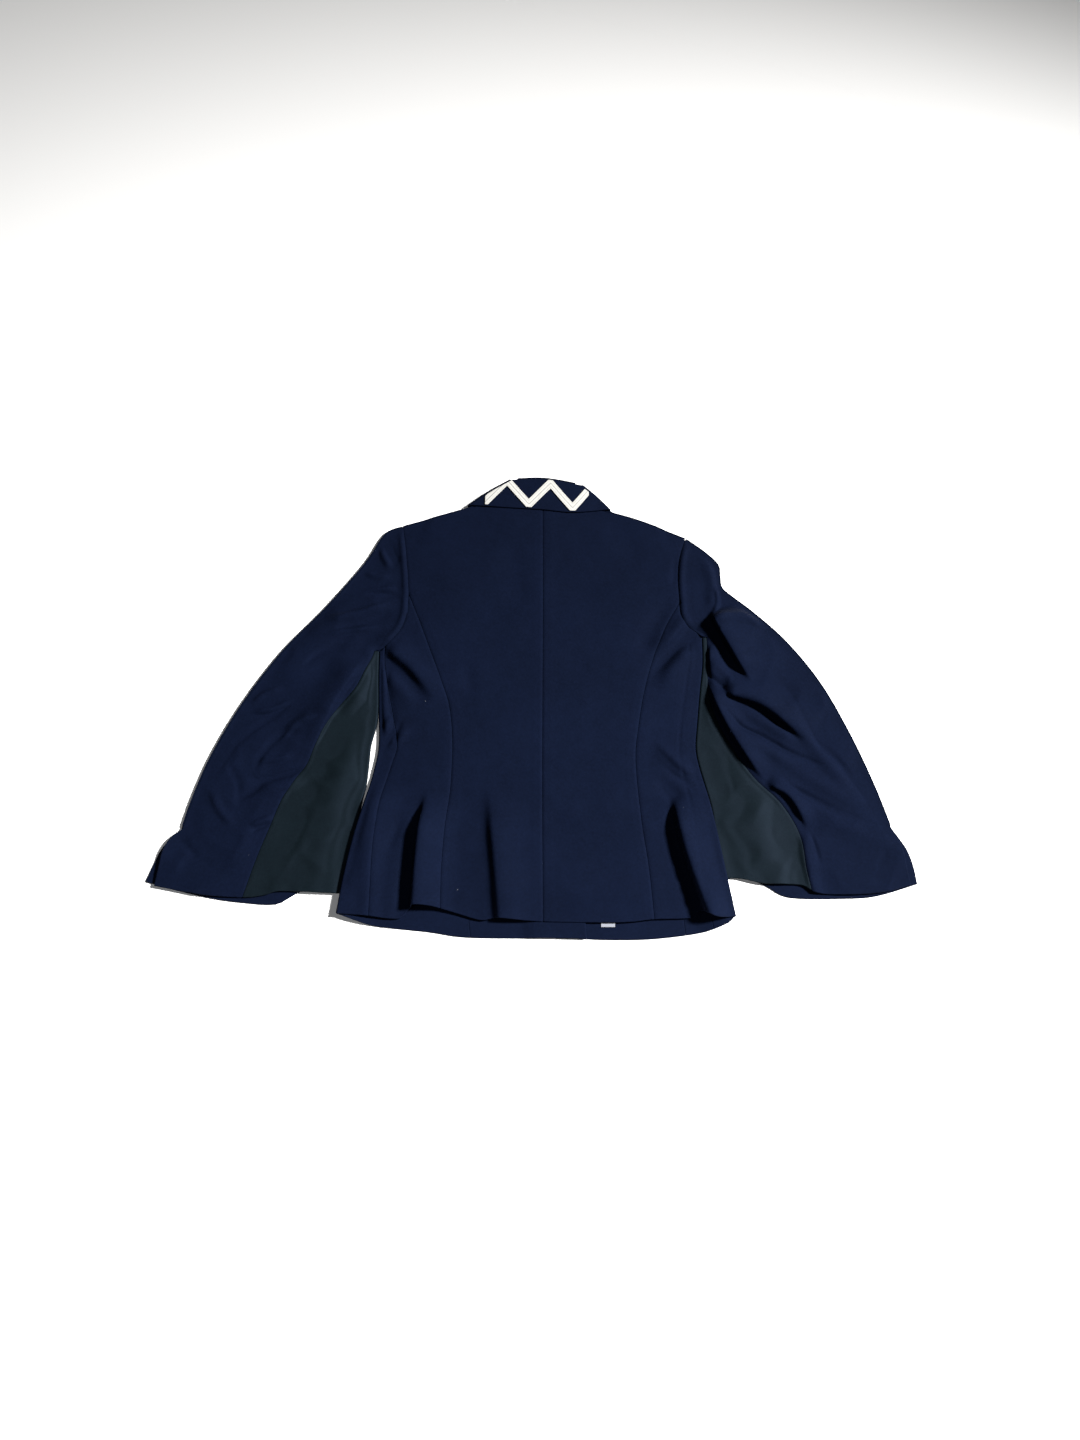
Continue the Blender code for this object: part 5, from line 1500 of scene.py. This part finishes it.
@dataclass(frozen=True)
class Woollen:
    """A woven wool cloth: twill lines, yarns of uneven tone, a short nap and a few lint specks."""
    name: str
    base: tuple
    light: tuple
    tone: float = 0.32            # how far the slow variation of tone goes
    grain: float = 0.50           # the fine one,
    yarn: float = 0.5             # that of single threads both ways
    pick: float = 0.4
    twill: float = 0.22           # and that of the twill's lines
    pitch: float = 0.0009         # between twill lines
    thread: tuple = (2600.0, 160.0)     # noise of a thread, per metre across and along it
    twill_depth: float = 0.00006
    nap_depth: float = 0.00012
    roughness: float = 0.84
    specular: float = 0.05
    reflex: tuple = (0.45, 0.60, 1.0, 1.0)
    lint: float = 0.5
    lint_colour: tuple = (0.28, 0.29, 0.31, 1.0)
    mottle: float = 0.0

    def make(self) -> bpy.types.Material:
        """Builds the material on the piece's own cloth map, in metres."""
        shader = Shader(self.name)
        cloth, weft, warp = shader.cloth_map()
        wander = shader.noise(cloth, 60.0, 1.0) * 1.5
        twill = ((weft * 0.8 + warp) * (2 * math.pi / self.pitch) + wander).sine() * 0.5 + 0.5
        fine, long = self.thread
        yarn = shader.noise(shader.stretched(cloth, (fine, long, 1.0)), 1.0, 2.0)
        pick = shader.noise(shader.stretched(cloth, (long, fine, 1.0)), 1.0, 2.0)
        slow = shader.noise(cloth, 9.0, 3.0, 0.55)
        middle = shader.noise(cloth, 70.0, 3.0, 0.6)
        nap = shader.noise(cloth, 1500.0, 3.0, 0.7)
        grain = shader.noise(cloth, 280.0, 2.0, 0.6)
        tone = 1.0
        for part, amount in ((slow, 2 * self.tone), (middle, self.tone + self.mottle), (grain, self.grain),
                             (yarn, self.yarn), (pick, self.pick), (twill, self.twill)):
            tone = tone + (part - 0.5) * amount
        colour = shader.scaled(shader.mix(nap.above(0.62, 0.12) * 0.35, self.base, self.light), tone)
        if self.lint:
            cells = shader.node("ShaderNodeTexVoronoi", {"feature": "F1"}, {"Vector": cloth, "Scale": 42.0})
            chosen = shader.term(shader.node("ShaderNodeSeparateColor", {}, {0: cells.outputs["Color"]}), 0)
            speck = (1.0 - shader.term(cells, "Distance").above(0.018, 0.006)) * chosen.above(0.955, 0.01)
            colour = shader.mix(speck * self.lint, colour, self.lint_colour)
        rough = shader.noise(cloth, 30.0, 2.0) * 0.10 + (self.roughness - 0.05)
        normal = shader.bump(nap, self.nap_depth)
        normal = shader.bump(twill * 0.6 + yarn * 0.4, self.twill_depth, normal)
        return shader.surface({"Base Color": colour, "Roughness": rough, "Normal": normal,
                               "Specular IOR Level": self.specular, "Specular Tint": self.reflex})


@dataclass(frozen=True)
class Ribbon:
    """A woven white tape or ribbon with ribs across it, and painted shade in the hollows between its ribs."""
    name: str
    base: tuple = (0.46, 0.455, 0.43, 1.0)
    # colour of the painted shade in the rib hollows, and of the real dust marks
    shade_and_dust: tuple = (0.30, 0.295, 0.28, 1.0)
    pitch: float = 0.0011
    rib_depth: float = 0.00012
    roughness: float = 0.6
    sheen: float = 0.1
    sewn: bool = False            # whether a line of stitches runs along its middle and each edge
    edge_row: float = 0.0039      # from the middle to the row along an edge
    stitch: float = 0.0026
    thread: tuple = (0.20, 0.20, 0.20, 1.0)

    def make(self) -> bpy.types.Material:
        """Builds the material."""
        shader = Shader(self.name)
        cloth, along, across = shader.cloth_map()
        rib = shader.wave(along, self.pitch) * 0.5 + 0.5
        dust = shader.noise(cloth, 90.0, 3.0, 0.6)
        yarn = shader.noise(cloth, 1800.0, 2.0, 0.6)
        # Share of the darker colour: painted shade in the rib hollows, plus real dust marks and uneven yarn
        # tone.
        share = (1.0 - rib) * 0.25 + dust.above(0.62, 0.15) * 0.3 + (yarn - 0.5) * 0.2
        normal = shader.bump(rib * 0.7 + yarn * 0.3, self.rib_depth)
        colour = shader.mix(share, self.base, self.shade_and_dust)
        if self.sewn:
            middle = 1.0 - across.sized().above(0.00055, 0.0003)
            row = 1.0 - (across.sized() - self.edge_row).sized().above(0.00035, 0.0002)
            dash = shader.wave(along, self.stitch).above(-0.3, 0.3)
            colour = shader.mix(middle * 0.75 + row * dash * 0.55, colour, self.thread)
            normal = shader.bump(1.0 - middle * 0.8 - row * 0.5, 0.0003, normal)
        return shader.surface({"Base Color": colour, "Roughness": self.roughness, "Normal": normal,
                               "Specular IOR Level": 0.3, "Sheen Weight": self.sheen})


@dataclass(frozen=True)
class Resin:
    """A polished dark resin with faint clouds in it."""
    name: str
    base: tuple
    cloud: tuple
    roughness: float = 0.25

    def make(self) -> bpy.types.Material:
        """Builds the material on object coordinates."""
        shader = Shader(self.name)
        place = shader.node("ShaderNodeTexCoord").outputs["Object"]
        clouds = shader.noise(place, 220.0, 4.0, 0.6)
        scratches = shader.noise(shader.stretched(place, (3000.0, 300.0, 300.0), 0.6), 1.0, 2.0)
        return shader.surface({
            "Base Color": shader.mix(clouds.above(0.55, 0.2), self.base, self.cloud),
            "Roughness": scratches * 0.12 + self.roughness,
            "Normal": shader.bump(scratches, 0.00001), "Coat Weight": 0.4, "Coat Roughness": 0.12})


@dataclass(frozen=True)
class Paper:
    """A plain pale floor, very slightly uneven."""
    name: str
    base: tuple = (0.90, 0.90, 0.90, 1.0)

    def make(self) -> bpy.types.Material:
        """Builds the material."""
        shader = Shader(self.name)
        place = shader.node("ShaderNodeTexCoord").outputs["Object"]
        grain = shader.noise(place, 400.0, 2.0)
        return shader.surface({"Base Color": shader.scaled(self.base, grain * 0.01 + 0.995),
                               "Roughness": 0.9, "Specular IOR Level": 0.1})


def make_finishes() -> dict:
    """Every finish of the jacket, by its slot."""
    finishes = {
        Slot.NAVY: Woollen("navy_wool", rgb(0.0018, 0.0033, 0.0104), rgb(0.0055, 0.0088, 0.024)),
        Slot.NAVY_DARK: Woollen("navy_undercollar", rgb(0.0022, 0.0036, 0.010), rgb(0.006, 0.008, 0.018),
                                lint=0.0),
        Slot.GREEN: Woollen("green_wool", rgb(0.0015, 0.0034, 0.0040), rgb(0.0052, 0.0096, 0.0112),
                            tone=0.20, roughness=0.7, specular=0.12, mottle=0.25, lint=0.4),
        Slot.TAPE: Ribbon("white_tape", sewn=True),
        # The label is white satin, but its colours are a dark grey: painted shade of the back's hem, which it
        # lies under.
        Slot.LABEL: Ribbon("white_satin_painted_shade", rgb(0.20, 0.21, 0.24), rgb(0.11, 0.12, 0.14), pitch=0.0005,
                           rib_depth=0.00003, roughness=0.35),
        Slot.BUTTON: Resin("navy_resin", rgb(0.008, 0.010, 0.022), rgb(0.020, 0.026, 0.05)),
    }
    return {slot: finish.make() for slot, finish in finishes.items()}


# ---------------------------------------------------------------- studio

@dataclass(frozen=True)
class Softbox:
    """A large square light that looks at the jacket."""
    name: str
    place: tuple
    size: float
    power: float
    colour: tuple = (1.0, 1.0, 1.0)
    spread: float = 180.0
    aim: tuple = (0.0, 0.0, 0.0)

    def hang(self) -> None:
        """Adds the light."""
        data = bpy.data.lights.new(self.name, "AREA")
        data.shape, data.size, data.energy, data.color = "SQUARE", self.size, self.power, self.colour
        data.spread = math.radians(self.spread)
        look_at(add_object(self.name, data), Vector(self.place), Vector(self.aim))


@dataclass
class Studio:
    """The pale floor, soft lights and the camera at the photograph's angle."""
    floor_size: float = 30.0
    ambient: float = 0.012
    lens: float = 35.0
    sensor: float = 36.0
    elevation: float = 72.0
    distance: float = 1.9
    target: tuple = (0.0115, -0.0283, 0.0)
    lights: tuple = (
        Softbox("key", (3.2, 0.6, 3.0), 0.6, 92.0, (1.0, 0.99, 0.97), 58.0, (-0.35, -0.70, 0.0)),
        Softbox("fill", (-0.45, -0.60, 1.75), 0.5, 6.0, (0.96, 0.98, 1.0), 180.0, (-0.1, -0.2, 0.0)),
    )

    def build(self) -> None:
        """Sets the stage."""
        half = self.floor_size / 2
        corners = np.array([(-half, -half, 0), (half, -half, 0), (half, half, 0), (-half, half, 0)], float)
        floor = make_mesh("floor", corners, np.arange(4)[None])
        floor.data.materials.append(Paper("pale_floor").make())
        for light in self.lights:
            light.hang()
        world = bpy.data.worlds.new("studio")
        world.use_nodes = True
        background = world.node_tree.nodes["Background"]
        background.inputs["Color"].default_value = (1.0, 1.0, 1.0, 1.0)
        background.inputs["Strength"].default_value = self.ambient
        bpy.context.scene.world = world
        bpy.context.scene.view_settings.view_transform = "Standard"
        self.camera()

    def camera(self) -> None:
        """The camera, looking down at the photograph's angle."""
        data = bpy.data.cameras.new("camera")
        data.lens, data.sensor_width, data.sensor_fit = self.lens, self.sensor, "AUTO"
        camera = add_object("camera", data)
        aim, angle = Vector(self.target), math.radians(self.elevation)
        look_at(camera, aim + self.distance * Vector((0, -math.cos(angle), math.sin(angle))), aim)
        bpy.context.scene.camera = camera


# ---------------------------------------------------------------- the whole jacket


def main() -> None:
    """Builds the studio and every sub-assembly in order."""
    logging.basicConfig(level=logging.INFO, format="%(name)s: %(message)s")
    pattern = Pattern()
    lie = Lie(pattern)
    finishes = make_finishes()
    Studio().build()
    for kind in (Backs, Fronts, Collar, Sleeves, Trims):
        kind(pattern, lie, finishes).build()


if __name__ == "__main__":
    main()
